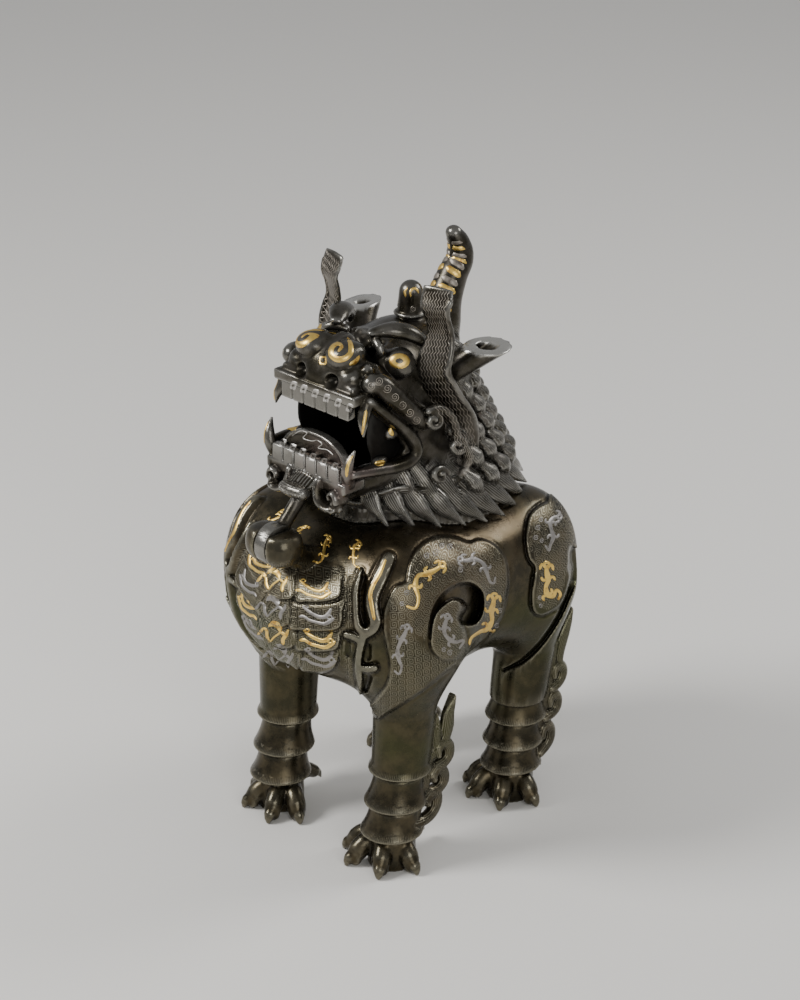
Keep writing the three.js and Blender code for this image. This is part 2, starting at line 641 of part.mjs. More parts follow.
// The mane is one ruffled column round the neck: a skirt of pointed tufts that rests on the back, under
// shorter locks. Each level gives its share of the tufts' ring and its height, and how far the tips hang
// below the gaps between them and stand out from them. The first level lies inside the body.
const TUFT_COUNT = 24;
const TUFT_RING = { middle: 18, across: 70, lengthwise: 88 };
const BARE_THROAT = [34, 60]; // degrees from the front where the ruffles fade out
const TUFT_HANG = 12;
const TUFT_THICK = 2.5;
const MANE_LEVELS = [
  { size: 0.8, height: 234 },
  { size: 0.97, onBack: true, spread: 0.04 },
  { size: 0.88, height: 268, spread: 0.03 },
  { size: 0.75, height: 289 },
  { size: 0.8, height: 285, hang: 4, spread: 0.04 },
  { size: 0.7, height: 310, hang: 2, spread: 0.03 },
  { size: 0.58, height: 336 },
];

function mane() {
  const geometry = new THREE.CylinderGeometry(1, 1, 1, 2 * TUFT_COUNT, MANE_LEVELS.length - 1);
  const spots = geometry.attributes.position;
  for (let i = 0; i < spots.count; i++) {
    const level = MANE_LEVELS[Math.round((spots.getY(i) + 0.5) * (MANE_LEVELS.length - 1))];
    const { size, height = 0, onBack = false, hang = 0, spread = 0 } = level;
    const angle = Math.atan2(spots.getX(i), spots.getZ(i));
    const fade = THREE.MathUtils.smoothstep(THREE.MathUtils.radToDeg(Math.abs(angle)), ...BARE_THROAT);
    const way = Math.round((angle * TUFT_COUNT) / Math.PI) % 2 === 0 ? 1 : -1;
    const share = size * (0.88 + 0.12 * fade) * (1 + way * spread * fade);
    const x = TUFT_RING.across * share * spots.getX(i);
    const y = TUFT_RING.middle * share ** 2 - TUFT_RING.lengthwise * share * spots.getZ(i);
    const onBackAt = () => backHeight(x, y) + TUFT_THICK + (way < 0 ? TUFT_HANG * fade : 0);
    spots.setXYZ(i, x, y, onBack ? onBackAt() : height - way * hang * fade);
  }
  return closed(geometry);
}

// Chin: a flared beard in the middle, a curl at each side, and the strap down to the hinge.
function beard() {
  const flare = curveThrough([[0, -82, 293], [0, -90, 290], [0, -97, 284]]);
  const flareBar = closed(bar(flare, { widths: [8, 9, 16], depths: [6, 6, 5], side: [1, 0, 0],
    sides: 6, steps: 2, bulge: [1, 3] }));
  const strap = curveThrough([[0, -84, 283], [0, -98, 272], [0, -113, 258]]);
  const strapBar = closed(bar(strap, { widths: [4.9, 4.9, 4.9], depths: [6, 5, 5], side: [1, 0, 0],
    sides: 4, steps: 3 }));
  const knuckle = closed(drum(HINGE_RADIUS, -CENTRE_KNUCKLE, CENTRE_KNUCKLE, HINGE));
  return join([flareBar, strapBar, knuckle, curl([31, -88, 284], 7, 1.4, 0.9, 3.2, 1)]);
}

function headLid() {
  const { tubes, bores } = ears();
  const shell = closed(inflated(headField, HEAD_HEART, FACET_GAIN, 4));
  const cavity = closed(inflated(headField, HEAD_HEART, -HEAD_WALL, 2));
  const seat = closed(inflated(bodyField, BODY_HEART, FACET_GAIN + SEAM, BODY_DETAIL));
  const crown = join([shell, tubes, horn(), bud(), face(), cheeks(), mane(), beard()]);
  const jaws = crown.subtract(mouthSpace()).add(lips());
  const trimmed = jaws
    .add(teeth(UPPER_TEETH))
    .add(teeth(LOWER_TEETH))
    .add(ribbons())
    .add(fang([36.5, -67, 349], [42, -75, 330], [0, -2, 0]))
    .add(fang([35, -81, 297], [39.5, -80, 319], [1, -3, 0]))
    .subtract(cavity)
    .add(cheekSkins())
    .subtract(neckColumn(6, 200, 285))
    .subtract(bores)
    .subtract(nostrils())
    .subtract(seat)
    .subtract(closed(drum(PIN_RADIUS + 0.3, -CENTRE_KNUCKLE - 1, CENTRE_KNUCKLE + 1, HINGE, PIN_SIDES)));
  return trimmed.subtract(sideRoom());
}

// Room on both sides of the lid's strap for the body's knuckles.
function sideRoom() {
  return pair(drum(HINGE_RADIUS + 1, CENTRE_KNUCKLE, SIDE_KNUCKLE + 4, HINGE));
}

function hingePin() {
  return closed(drum(PIN_RADIUS, -SIDE_KNUCKLE + 6, SIDE_KNUCKLE - 6, HINGE, PIN_SIDES));
}

const luduan = new THREE.Group();
luduan.position.set(0, FRONT_SHIFT, -SOLE);
luduan.add(meshOf("burner_body", burnerBody(), bronze));
luduan.add(meshOf("head_lid", headLid(), paleBronze));
luduan.add(meshOf("hinge_pin", hingePin(), pinBronze));

export default luduan;
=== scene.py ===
"""Looks of the bronze beast incense burner, over the CAD frame: castings, engraving, wires and inlay.

The beast faces -Y, its left side is +X and in the finished frame it stands at z = 0. Work is done in
millimetres in the drawing's frame, and SHIFT leads from it to the finished one.
"""
import math

import bpy
import numpy as np
import openvdb
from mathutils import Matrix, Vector
from mathutils.bvhtree import BVHTree


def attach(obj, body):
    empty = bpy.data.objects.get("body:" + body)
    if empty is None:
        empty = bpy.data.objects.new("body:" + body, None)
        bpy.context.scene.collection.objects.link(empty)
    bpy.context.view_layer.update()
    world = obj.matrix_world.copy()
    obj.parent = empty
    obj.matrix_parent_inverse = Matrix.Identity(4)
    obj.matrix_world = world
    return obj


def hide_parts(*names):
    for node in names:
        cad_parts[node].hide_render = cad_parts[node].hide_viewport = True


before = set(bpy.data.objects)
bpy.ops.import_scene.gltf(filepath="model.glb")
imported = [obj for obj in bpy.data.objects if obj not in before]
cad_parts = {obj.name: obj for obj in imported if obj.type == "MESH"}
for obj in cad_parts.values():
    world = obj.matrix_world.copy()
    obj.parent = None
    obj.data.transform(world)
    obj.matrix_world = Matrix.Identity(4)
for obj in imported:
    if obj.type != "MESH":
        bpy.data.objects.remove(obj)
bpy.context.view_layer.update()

GROUND = 4.3  # the drawing's height at the soles
SHIFT = np.array((0, 3.85, -GROUND))  # from the drawing's frame to the finished one
MM = 0.001
FULL_TURN = 2 * math.pi

# The camera, in the drawing's frame
AZIMUTH = math.radians(44.5)
ELEVATION = math.radians(25)
DISTANCE = 1960
TARGET = np.array([0, 3.36, 244.13])
FOCAL = 2800  # in picture pixels
PICTURE = (800, 1000)
SENSOR = 36  # millimetres along the picture's longer side

TOWARDS = np.array([
    math.sin(AZIMUTH) * math.cos(ELEVATION),
    -math.cos(AZIMUTH) * math.cos(ELEVATION),
    math.sin(ELEVATION),
])
RIGHT = np.array([math.cos(AZIMUTH), math.sin(AZIMUTH), 0])
UP = np.cross(TOWARDS, RIGHT)
EYE = TARGET + TOWARDS * DISTANCE


def in_picture(x, y, z):
    """Where a place shows in the picture, in pixels from its top left."""
    offset = (x - EYE[0], y - EYE[1], z - EYE[2])
    depth = -sum(o * t for o, t in zip(offset, TOWARDS))
    across = sum(o * r for o, r in zip(offset, RIGHT))
    up = sum(o * u for o, u in zip(offset, UP))
    return PICTURE[0] / 2 + FOCAL * across / depth, PICTURE[1] / 2 - FOCAL * up / depth


def sight(px, py):
    """The way from the eye through a pixel."""
    return -TOWARDS + RIGHT * (px - PICTURE[0] / 2) / FOCAL - UP * (py - PICTURE[1] / 2) / FOCAL


def seen(*spots):
    """Places that show at a picture's pixels, each (across, down, the place's x)."""
    places = []
    for px, py, x in spots:
        way = sight(px, py)
        places.append(tuple(EYE + way * (x - EYE[0]) / way[0]))
    return places


# Blended shapes: distances in millimetres, negative inside

def blend(a, b, reach):
    mix = np.maximum(reach - np.abs(a - b), 0) / reach
    return np.minimum(a, b) - mix * mix * reach / 4


def egg(place, centre, radii, power=2.0):
    q = [p - c for p, c in zip(place, centre)]
    level = sum(np.abs(v / r) ** power for v, r in zip(q, radii)) ** (1 / power) + 1e-6
    return np.sqrt(sum(v * v for v in q)) * (1 - 1 / level)


def cone(place, start, end, radii):
    axis = np.subtract(end, start)
    q = [p - s for p, s in zip(place, start)]
    t = np.clip(sum(v * a for v, a in zip(q, axis)) / (axis @ axis), 0, 1)
    off = np.sqrt(sum((v - t * a) ** 2 for v, a in zip(q, axis)))
    return off - (radii[0] + (radii[1] - radii[0]) * t)


def plank(place, centre, halves, rounding=0.8):
    """A box with rounded edges."""
    q = [np.abs(p - c) - h + rounding for p, c, h in zip(place, centre, halves)]
    out = np.sqrt(sum(np.maximum(v, 0) ** 2 for v in q))
    return out + np.minimum(np.maximum(np.maximum(q[0], q[1]), q[2]), 0) - rounding


def off_segment(x, y, start, end):
    """Distance in a plane from a straight line, and how far along it the nearest place lies, 0 to 1."""
    dx, dy = end[0] - start[0], end[1] - start[1]
    t = np.clip(((x - start[0]) * dx + (y - start[1]) * dy) / (dx * dx + dy * dy + 1e-9), 0, 1)
    return np.hypot(x - start[0] - t * dx, y - start[1] - t * dy), t


def from_outline(line, x, y):
    """Distance in a plane from a closed line, negative inside it."""
    best = np.full(np.broadcast(x, y).shape, 1e3)
    inside = np.zeros(best.shape, bool)
    for start, end in zip(line, np.roll(line, -1, axis=0)):
        best = np.minimum(best, off_segment(x, y, start, end)[0])
        across, down = end - start
        crosses = (start[1] > y) != (end[1] > y)
        slope_down = down if abs(down) > 1e-9 else 1e-9
        inside ^= crosses & (x < start[0] + (y - start[1]) * across / slope_down)
    return np.where(inside, -best, best)


def to_left(place):
    """A place's x, y and z, mirrored to the beast's left half."""
    return np.abs(place[0]), place[1], place[2]


# Masses: centre, radii, squareness (2 for an egg) and how softly each joins the ones before it
BODY_MASSES = (
    ((0, 6, 188), (83, 113, 61), 2.4, 0),
    ((0, -58, 197), (62, 55, 52), 2.2, 20),
    ((0, -2, 212), (87, 84, 41), 2.6, 12),
    ((55, -50, 195), (41, 47, 60), 2.2, 22),
    ((50, 70, 188), (38, 46, 58), 2.2, 22),
)
HEAD_MASSES = (
    ((0, 4, 338), (44, 47, 42), 2, 0),
    ((0, -42, 359), (36, 36, 20), 2.4, 12),
    ((0, -24, 316), (44, 42, 40), 2.2, 12),
    ((0, -48, 291), (39, 40, 15), 2.6, 12),
    ((0, -46, 325), (36, 34, 34), 2.6, 12),
)


def joined(masses, place):
    """Distance from masses that are blended into one."""
    d = egg(place, *masses[0][:3])
    for centre, radii, power, soft in masses[1:]:
        d = blend(d, egg(place, centre, radii, power), soft)
    return d


def hull(place):
    """The body without its legs."""
    return joined(BODY_MASSES, to_left(place))


# The legs' upper parts, inside the body: places down each with its radius there
UPPER_LEGS = (
    ((57, -54, 80, 20.5), (58, -51, 123, 22), (59, -52, 168, 32)),
    ((53, 71, 80, 20.5), (54, 77, 123, 22), (54, 78, 168, 30)),
)
LEG_BLEND = 16


def with_legs(d, place):
    """A body's distances with the upper parts of its legs blended in."""
    q = to_left(place)
    for line in UPPER_LEGS:
        shin, thigh = [cone(q, start, end, (r0, r1)) for (*start, r0), (*end, r1) in zip(line, line[1:])]
        d = blend(d, np.minimum(shin, thigh), LEG_BLEND)
    return d


# Curves

def length_of(points):
    return np.linalg.norm(np.diff(np.array(points, float), axis=0), axis=1).sum()


def through(points, count):
    """Even places along a smooth curve through the points."""
    points = np.array(points, float)
    padded = np.vstack([2 * points[0] - points[1], points, 2 * points[-1] - points[-2]])
    pieces = []
    for i in range(len(points) - 1):
        p0, p1, p2, p3 = padded[i:i + 4]
        t = np.linspace(0, 1, 24, endpoint=False)[:, None]
        pieces.append(0.5 * (2 * p1 + (p2 - p0) * t + (2 * p0 - 5 * p1 + 4 * p2 - p3) * t ** 2
                             + (3 * p1 - p0 - 3 * p2 + p3) * t ** 3))
    fine = np.vstack(pieces + [points[-1:]])
    length = np.concatenate([[0], np.cumsum(np.linalg.norm(np.diff(fine, axis=0), axis=1))])
    at = np.linspace(0, length[-1], count)
    return np.stack([np.interp(at, length, fine[:, k]) for k in range(points.shape[1])], axis=1)


def spread(values, count):
    """A short list of values drawn out evenly to a longer one."""
    values = np.atleast_1d(np.array(values, float))
    return np.interp(np.linspace(0, 1, count), np.linspace(0, 1, len(values)), values)


# Clay: a distance on a grid that shapes are added to and cut from

FAR = 9.0  # millimetres up to which distances are kept
AXES = ((-1, 1, 1), (1, -1, 1), (1, 1, -1))  # shapes in which places along x, y and z spread over a grid
EVERYWHERE = slice(None)
ROPE_STEP = 2.2  # millimetres between the places that make up a rope
SEARCH = 250  # millimetres before and behind the target in which the camera's sight is followed


def cells_between(low, high, origin, step, count):
    """The cells of a grid that lie between two corners."""
    spans = []
    for k in range(3):
        first = max(int((low[k] - origin[k]) / step), 0)
        last = min(int((high[k] - origin[k]) / step) + 2, count[k])
        spans.append(slice(first, max(last, first)))
    return tuple(spans)


def rope_ways(step, side):
    """A rope's length over one step, and the ways along it, across it and out of it."""
    length = np.linalg.norm(step) + 1e-6
    along = step / length
    across = side - along * np.dot(side, along)
    across /= np.linalg.norm(across) + 1e-9
    return length, along, across, np.cross(along, across)


def rope_piece(place, ends, wide, deep, side):
    """Distance from a straight piece of rope, oval in section, that widens from one end to the other."""
    length, along, across, out = rope_ways(ends[1] - ends[0], side)
    q = [p - s for p, s in zip(place, ends[0])]
    travel = sum(v * a for v, a in zip(q, along))
    t = np.clip(travel / length, 0, 1)
    w = wide[0] + (wide[1] - wide[0]) * t
    d = deep[0] + (deep[1] - deep[0]) * t
    u = sum(v * a for v, a in zip(q, across)) / w
    v = sum(v * a for v, a in zip(q, out)) / d
    small = np.minimum(w, d)
    past = (travel - t * length) / small
    level = np.sqrt(u * u + v * v + past * past)
    size = np.sqrt((u * w) ** 2 + (v * d) ** 2 + (past * small) ** 2)
    return np.where(level < 1e-3, -small, size * (1 - 1 / np.maximum(level, 1e-4)))


class Clay:
    """The beast's left half, x from 0, until mirror() makes it whole."""

    def __init__(self, low, high, step):
        self.low, self.step = np.array(low, float), step
        self.count = [int((h - l) / step) + 1 for l, h in zip(low, high)]
        self.grid = np.full(self.count, FAR, np.float32)
        self.strokes = []

    def mirror(self):
        self.grid = np.concatenate([self.grid[:0:-1], self.grid])
        self.low[0] = -(self.count[0] - 1) * self.step
        self.count[0] = len(self.grid)

    def places(self, spans):
        return [(low + self.step * np.arange(span.start, span.stop, dtype=np.float32)).reshape(shape)
                for low, span, shape in zip(self.low, spans, AXES)]

    def window(self, low, high):
        """The cells between two corners, and their places."""
        spans = cells_between(low, high, self.low, self.step, self.count)
        return spans, self.places(spans)

    def everywhere(self):
        return self.places([slice(0, n) for n in self.count])

    def merge(self, spans, distance, soft=0):
        old = self.grid[spans]
        new = blend(old, distance, soft) if soft else np.minimum(old, distance)
        self.grid[spans] = np.minimum(new, FAR)

    def remove(self, spans, distance, soft=0):
        old = self.grid[spans]
        self.grid[spans] = -blend(-old, distance, soft) if soft else np.maximum(old, -distance)

    def add(self, low, high, shape, soft=0):
        spans, place = self.window(low, high)
        self.merge(spans, shape(place), soft)

    def cut(self, low, high, shape, soft=0):
        spans, place = self.window(low, high)
        self.remove(spans, shape(place), soft)

    def sweep(self, points, widths, depths=None, side=(1, 0, 0), soft=0, cut=False, hatch=False):
        """A rope along a smooth curve, oval in section: widths along side, depths across it."""
        count = max(int(length_of(points) / ROPE_STEP), 6)
        line, wide = through(points, count), spread(widths, count)
        deep = wide if depths is None else spread(depths, count)
        sides = np.array(side, float)
        sides = through(sides, count) if sides.ndim == 2 else np.tile(sides, (count, 1))
        margin = max(wide.max(), deep.max()) + 4 + soft
        spans, place = self.window(line.min(0) - margin, line.max(0) + margin)
        distance = self.off_rope(place, line, wide, deep, sides, soft)
        if cut:
            self.remove(spans, distance, soft)
        else:
            self.merge(spans, distance, soft)
        if hatch:
            self.strokes.append((line, wide, deep, side))

    def off_rope(self, place, line, wide, deep, sides, soft):
        """Distance from a rope, worked out piece by piece near each piece."""
        distance = np.full([axis.size for axis in place], FAR, np.float32)
        origin = [axis.ravel()[0] for axis in place]
        for i in range(len(line) - 1):
            ends, widths, depths = line[i:i + 2], wide[i:i + 2], deep[i:i + 2]
            margin = max(*widths, *depths) + 3.5 + soft
            low, high = ends.min(0) - margin, ends.max(0) + margin
            part = cells_between(low, high, origin, self.step, distance.shape)
            near = [axis.ravel()[span].reshape(shape) for axis, span, shape in zip(place, part, AXES)]
            piece = rope_piece(near, ends, widths, depths, sides[i])
            distance[part] = np.minimum(distance[part], piece)
        return distance

    def landed(self, *spots, lift=0):
        """Places on the clay that show at a picture's pixels."""
        places = []
        depths = np.arange(DISTANCE - SEARCH, DISTANCE + SEARCH, 0.5)
        for px, py in spots:
            path = EYE + sight(px, py) * depths[:, None]
            cells = np.rint((path - self.low) / self.step).astype(int)
            inside = np.all((cells >= 0) & (cells < self.count), axis=1)
            cells[~inside] = 0
            solid = inside & (self.grid[tuple(cells.T)] < 0)
            if not solid.any():
                raise ValueError(f"nothing shows at {px}, {py}")
            places.append(tuple(path[int(np.argmax(solid))] + TOWARDS * lift))
        return places

    def faces(self):
        """The surface as places and four-sided faces."""
        volume = openvdb.FloatGrid(FAR)
        volume.copyFromArray(self.grid)
        places, quads = volume.convertToQuads(0.0)
        return self.low + places * self.step, quads


# Relief: heights drawn on the picture of the beast's near side, and mirrored to the other

FLANK = (200, 470, 620, 760)  # the part of the picture that relief covers: left, top, right, bottom
FINE = 2  # samples per picture pixel
MARGIN = 16  # pixels worked out round a drawn shape


def ridge(distance, inset, width):
    """A narrow ridge of height 1 along a drawn shape's edge, inset inside it."""
    return np.exp(-((distance + inset) / width) ** 2)


class Relief:
    def __init__(self):
        left, top, right, bottom = FLANK
        self.height = np.zeros(((bottom - top) * FINE, (right - left) * FINE), np.float32)

    def spot(self, points, margin):
        """The samples round some points, and where they lie in the picture."""
        low = np.maximum(((points.min(0) - margin - FLANK[:2]) * FINE).astype(int), 0)
        high = ((points.max(0) + margin - FLANK[:2]) * FINE).astype(int) + 1
        part = (slice(low[1], high[1]), slice(low[0], high[0]))
        rows, columns = self.height[part].shape
        x = FLANK[0] + (low[0] + np.arange(columns)) / FINE
        y = FLANK[1] + (low[1] + np.arange(rows)) / FINE
        return part, x[None, :], y[:, None]

    def line(self, points, halves):
        """Distance in pixels from a drawn line that is thicker and thinner on its way."""
        count = max(int(length_of(points) / 3), 4)
        line, halves = through(points, count), spread(halves, count)
        part, x, y = self.spot(line, MARGIN + halves.max())
        best = np.full((y.size, x.size), 1e3)
        for start, end, first, last in zip(line, line[1:], halves, halves[1:]):
            distance, t = off_segment(x, y, start, end)
            best = np.minimum(best, distance - (first + (last - first) * t))
        return part, best

    def area(self, points):
        """Distance in pixels from an outline, negative inside it."""
        line = through([*points, points[0]], len(points) * 6)[:-1]
        part, x, y = self.spot(line, MARGIN)
        return part, from_outline(line, x, y)

    def add(self, drawn, height, soft):
        """Raises what lies inside a drawn shape, over a slope as wide as soft."""
        part, distance = drawn
        share = np.clip(0.5 - distance / soft, 0, 1)
        self.height[part] += height * share * share * (3 - 2 * share)

    def at(self, px, py):
        """Heights at pixels, blended between samples."""
        c = np.clip((px - FLANK[0]) * FINE, 0, self.height.shape[1] - 1.01)
        r = np.clip((py - FLANK[1]) * FINE, 0, self.height.shape[0] - 1.01)
        ci, ri = c.astype(int), r.astype(int)
        cf, rf = c - ci, r - ri
        h = self.height
        top = h[ri, ci] * (1 - cf) + h[ri, ci + 1] * cf
        low = h[ri + 1, ci] * (1 - cf) + h[ri + 1, ci + 1] * cf
        return top * (1 - rf) + low * rf


# Outlines on the near side, in picture pixels
SHOULDER_EDGE = (
    (378, 719), (366, 708), (374, 701), (387, 684), (390, 667), (388, 653), (384, 634), (383, 617),
    (388, 600), (395, 587), (406, 582), (408, 573), (411, 560), (417, 549), (428, 540), (442, 536),
    (458, 538), (469, 542), (479, 539), (490, 542), (500, 550), (506, 561), (508, 578), (507, 594),
    (503, 613), (494, 628), (483, 642), (468, 656), (442, 676), (412, 698),
)
LOBE_EDGE = (
    (461, 602), (454, 601), (445, 606), (437, 614), (433, 626), (432, 639), (434, 650), (440, 657),
    (448, 661), (458, 659), (464, 653), (466, 642), (465, 631), (461, 624), (459, 617), (462, 610),
)
HOOK_EDGE = (
    (432, 639), (431, 628), (434, 611), (441, 597), (452, 587), (466, 583), (476, 586), (482, 594),
    (483, 604), (481, 615), (475, 623), (467, 625), (462, 622), (460, 617), (464, 611), (465, 606),
    (461, 601), (453, 600), (445, 605), (437, 614), (433, 626),
)
HAUNCH_EDGE = (
    (548, 502), (539, 506), (530, 515), (527, 527), (526, 541), (529, 558), (535, 567), (534, 578),
    (532, 592), (532, 606), (536, 614), (543, 615), (555, 609), (564, 600), (569, 583), (572, 569),
    (569, 557), (574, 547), (580, 552), (583, 533), (577, 510), (566, 494), (553, 487),
)
THIGH_LINE = (
    (572, 553), (576, 565), (574, 579), (569, 593), (560, 614), (548, 634), (535, 650), (521, 662),
    (504, 670),
)
# Panels: outline, height and slope, then ridges along the edge, each its height, inset and width
PANELS = (
    (SHOULDER_EDGE, 1.7, 2, ((0.5, 2.2, 0.9), (-0.6, -1.6, 1.2))),
    (HOOK_EDGE, -6.5, 5, ((0.8, -1.2, 1.4),)),
    (LOBE_EDGE, 1.8, 2.4, ((-1.2, -2, 1.4),)),
    (HAUNCH_EDGE, 1.9, 2, ((-1.3, -1.8, 1.3), (0.3, 1.8, 0.9))),
)
# The raised cord beside the chest, with its loop and branches: centre lines and half widths
CORDS = (
    (((388.6, 558), (386.5, 563), (381.5, 574), (374.8, 589), (372, 600), (373, 611), (375.5, 621),
      (373, 629), (366, 634)), (6, 6.6, 7, 6.8, 6.4, 6, 5.8, 5, 4.4)),
    (((361, 570), (358, 580), (355.5, 591), (355.5, 604), (356, 616), (358, 627), (365, 634)),
     (1.2, 2.4, 2.8, 2.8, 2.8, 3.4, 4.4)),
    (((364, 633), (361, 643), (359, 653), (358, 662), (358.5, 672), (359.5, 683), (360, 695)),
     (4.6, 4, 3.6, 3.6, 3.4, 2.6, 0.6)),
    (((360, 641), (353, 637), (346, 635)), (3, 3.4, 3)),
    (((359, 668), (367, 669.5), (374.5, 668.5)), (3, 3.4, 3.4)),
)
CORD_HEIGHT = 3.8
# Hollows: centre line, half widths, depth and slope
HOLLOWS = (
    (((572, 548), (576, 556), (573, 566), (574, 578)), (2, 4.5, 4.5, 3), 4, 3),
    (THIGH_LINE, (3, 3, 2.6, 2.4, 2.2, 2.2, 2, 1.6, 0.6), 4.2, 3),
    (((365, 578), (362.5, 590), (362, 604), (363, 617), (364.5, 624)), (2, 3.2, 3.4, 3, 2), 2.6, 2.6),
    (((348, 643), (348, 655)), (2.4, 3), 1.6, 2.6),
    (((368.5, 646), (368, 658)), (2.4, 2.8), 1.6, 2.6),
    (((369, 678), (366, 690)), (3, 2), 2.4, 2.6),
    (((350, 578), (347, 595), (347, 612)), (1, 2, 1), 1.2, 2.6),
)
# Plates of the chest on the near side: their outlines in pixels, and where each tucks under the one above
CHEST_PLATES = (
    (((240, 552), (292.5, 560), (294.5, 578), (294.5, 592), (292, 598.5), (283, 599.7), (271, 598),
      (259.6, 594.6), (240, 587)), 560),
    (((240, 584), (288.5, 590), (289, 606), (289, 619), (287, 626), (277, 626.8), (266, 624), (255, 619),
      (240, 610)), 592),
    (((240, 612), (294, 618), (295.5, 632), (295, 642), (292, 648), (279, 648.4), (266.5, 644.6),
      (250, 636)), 620),
    (((250, 632), (299, 640), (300.5, 655), (300, 665), (297.5, 671), (288, 671), (277, 666), (262, 656)),
     642),
    (((292, 560), (340, 566), (341.5, 582), (341, 592), (337, 598.5), (322, 602), (306, 602), (295, 599)),
     568),
    (((287, 592), (341, 594), (342.5, 610), (342, 622), (338, 629), (322, 631.6), (301, 630.4),
      (288.5, 626.6)), 598),
    (((294, 622), (338, 624), (340, 636), (339, 645), (335.5, 650), (323, 652), (306, 651.4),
      (295.5, 648.4)), 628),
    (((299, 644), (335, 645), (338, 657), (336, 665), (332, 669.5), (322, 672.5), (311, 672.5),
      (300, 669.5)), 649),
)
PLATE_BASE, PLATE_RISE = 0.3, 4.2  # a plate's height at its upper edge, and how much more at its lower one


def add_plates(relief):
    """Chest plates that rise towards their lower edges, each with a raised edge and a groove round it."""
    rims = []
    for outline, tuck in CHEST_PLATES:
        part, distance = relief.area(outline)
        rows = (FLANK[1] + np.arange(part[0].start, part[0].stop) / FINE)[:, None]
        bottom = max(y for _, y in outline)
        rise = np.clip((bottom - rows) / (bottom - tuck), 0, 1)
        plate = (PLATE_BASE + PLATE_RISE * (1 - rise)) * np.clip(0.5 - distance / 1.3, 0, 1)
        relief.height[part] = np.maximum(relief.height[part], plate)
        shown = np.clip((rows - tuck - 6) / 6, 0, 1)
        rims.append((part, (0.4 * ridge(distance, 1.6, 0.8) - 0.9 * ridge(distance, -1.6, 1)) * shown))
    for part, rim in rims:
        relief.height[part] += rim


def off_cord(relief):
    """Distance in pixels from the raised cord, negative inside it."""
    nearest = np.full_like(relief.height, 50)
    for points, halves in CORDS:
        part, distance = relief.line(points, halves)
        nearest[part] = np.minimum(nearest[part], distance)
    return nearest


def flank_relief():
    """Millimetres by which the near side's carving stands out."""
    relief = Relief()
    add_plates(relief)
    for outline, height, soft, ridges in PANELS:
        part, distance = panel = relief.area(outline)
        relief.add(panel, height, soft)
        for rise, inset, width in ridges:
            relief.height[part] += rise * ridge(distance, inset, width)
    for points, halves, depth, soft in HOLLOWS:
        relief.add(relief.line(points, halves), -depth, soft)
    cord = off_cord(relief)
    relief.height -= 0.9 * ridge(cord, -1.8, 1.3)
    band = np.clip(0.5 - cord / 1.5, 0, 1) * CORD_HEIGHT - 0.6 * ridge(cord, 1.9, 0.6)
    relief.height = np.where(cord < 1.2, np.maximum(relief.height, band), relief.height)
    return relief


def cord_shown():
    """How far each picture pixel lies inside the raised cord."""
    relief = Relief()
    relief.height = np.clip(-off_cord(relief) / 1.2, 0, 1)
    return relief


# Body

BODY_WALL = 7
SEAM = 0.5
NECK_CENTRE_Y = 8
NECK_RADII = (45, 58)
NECK_LOW = 215
HINGE = (0, -117, 252)
HINGE_RADIUS = 14.5
CENTRE_KNUCKLE = 5
KNUCKLE_ROOM = 16  # radius of the room that each knuckle turns in
PIN_HOLE, PIN_DEPTH = 3.4, 15.6
FRONT_LEG = {
    "axis": ((57, -63, 0), (57, -63, 30), (57, -54, 80), (58, -51, 132)),
    "rings": (28, 50, 75),
    "foot": (52, -61),
}
REAR_LEG = {
    "axis": ((53, 64, 0), (53, 65, 30), (53, 71, 80), (54, 77, 132)),
    "rings": (28, 47, 67),
    "foot": (50, 66),
}
BODY_BOX, BODY_GRID = ((0, -138, 0), (106, 134, 262)), 1.1
HULL_LOW = 84  # nothing of the body but its legs reaches lower
TOE_ANGLES = (-62, -21, 32, 82)
HEEL_RADIUS, RING_RADIUS, FLARE, LIP = 17, 16.9, 5.2, 0.8
GROOVE = 1.4  # depth under each ring's edge


def leg_radius(z, rings):
    """A heel below rings of loose skin, each rounded over its lower edge and tucked under the next."""
    radius = np.full_like(z, HEEL_RADIUS)
    for edge, top in zip(rings, rings[1:] + (rings[-1] + 25,)):
        lip = np.clip((z - edge) / 2.6, 0, 1)
        flare = 1 - np.clip((z - edge - 2) / (top - edge - 2), 0, 1)
        ring = RING_RADIUS + FLARE * flare ** 2.2 * np.sqrt(1 - (1 - lip) ** 2) + LIP * lip
        radius = np.where(z >= edge, ring, radius)
        radius = radius - GROOVE * ridge(z - edge, 0, 1.1)
    return radius


def leg_axis(z, leg):
    heights = [p[2] for p in leg["axis"]]
    return [np.interp(z, heights, [p[k] for p in leg["axis"]]) for k in (0, 1)]


def add_leg(clay, leg):
    def column(place):
        x, y, z = place
        cx, cy = leg_axis(z, leg)
        return (np.hypot(x - cx, y - cy) - leg_radius(z, leg["rings"])) * 0.8

    x, y = leg["foot"]
    clay.add((x - 28, y - 40, 0), (x + 40, y + 45, 100), column)
    for degrees in TOE_ANGLES:
        add_toe(clay, leg["foot"], math.radians(degrees))
    back = [(x + 1, y + r, z) for r, z in ((8, 24), (20, 23), (27, 19))]
    clay.sweep(back, [6, 6.2, 5], soft=1.5)
    claw = [(x + 1, y + r, z) for r, z in ((25, 20.5), (31, 17), (34.5, 11))]
    clay.sweep(claw, [3.8, 3.2, 0.9])


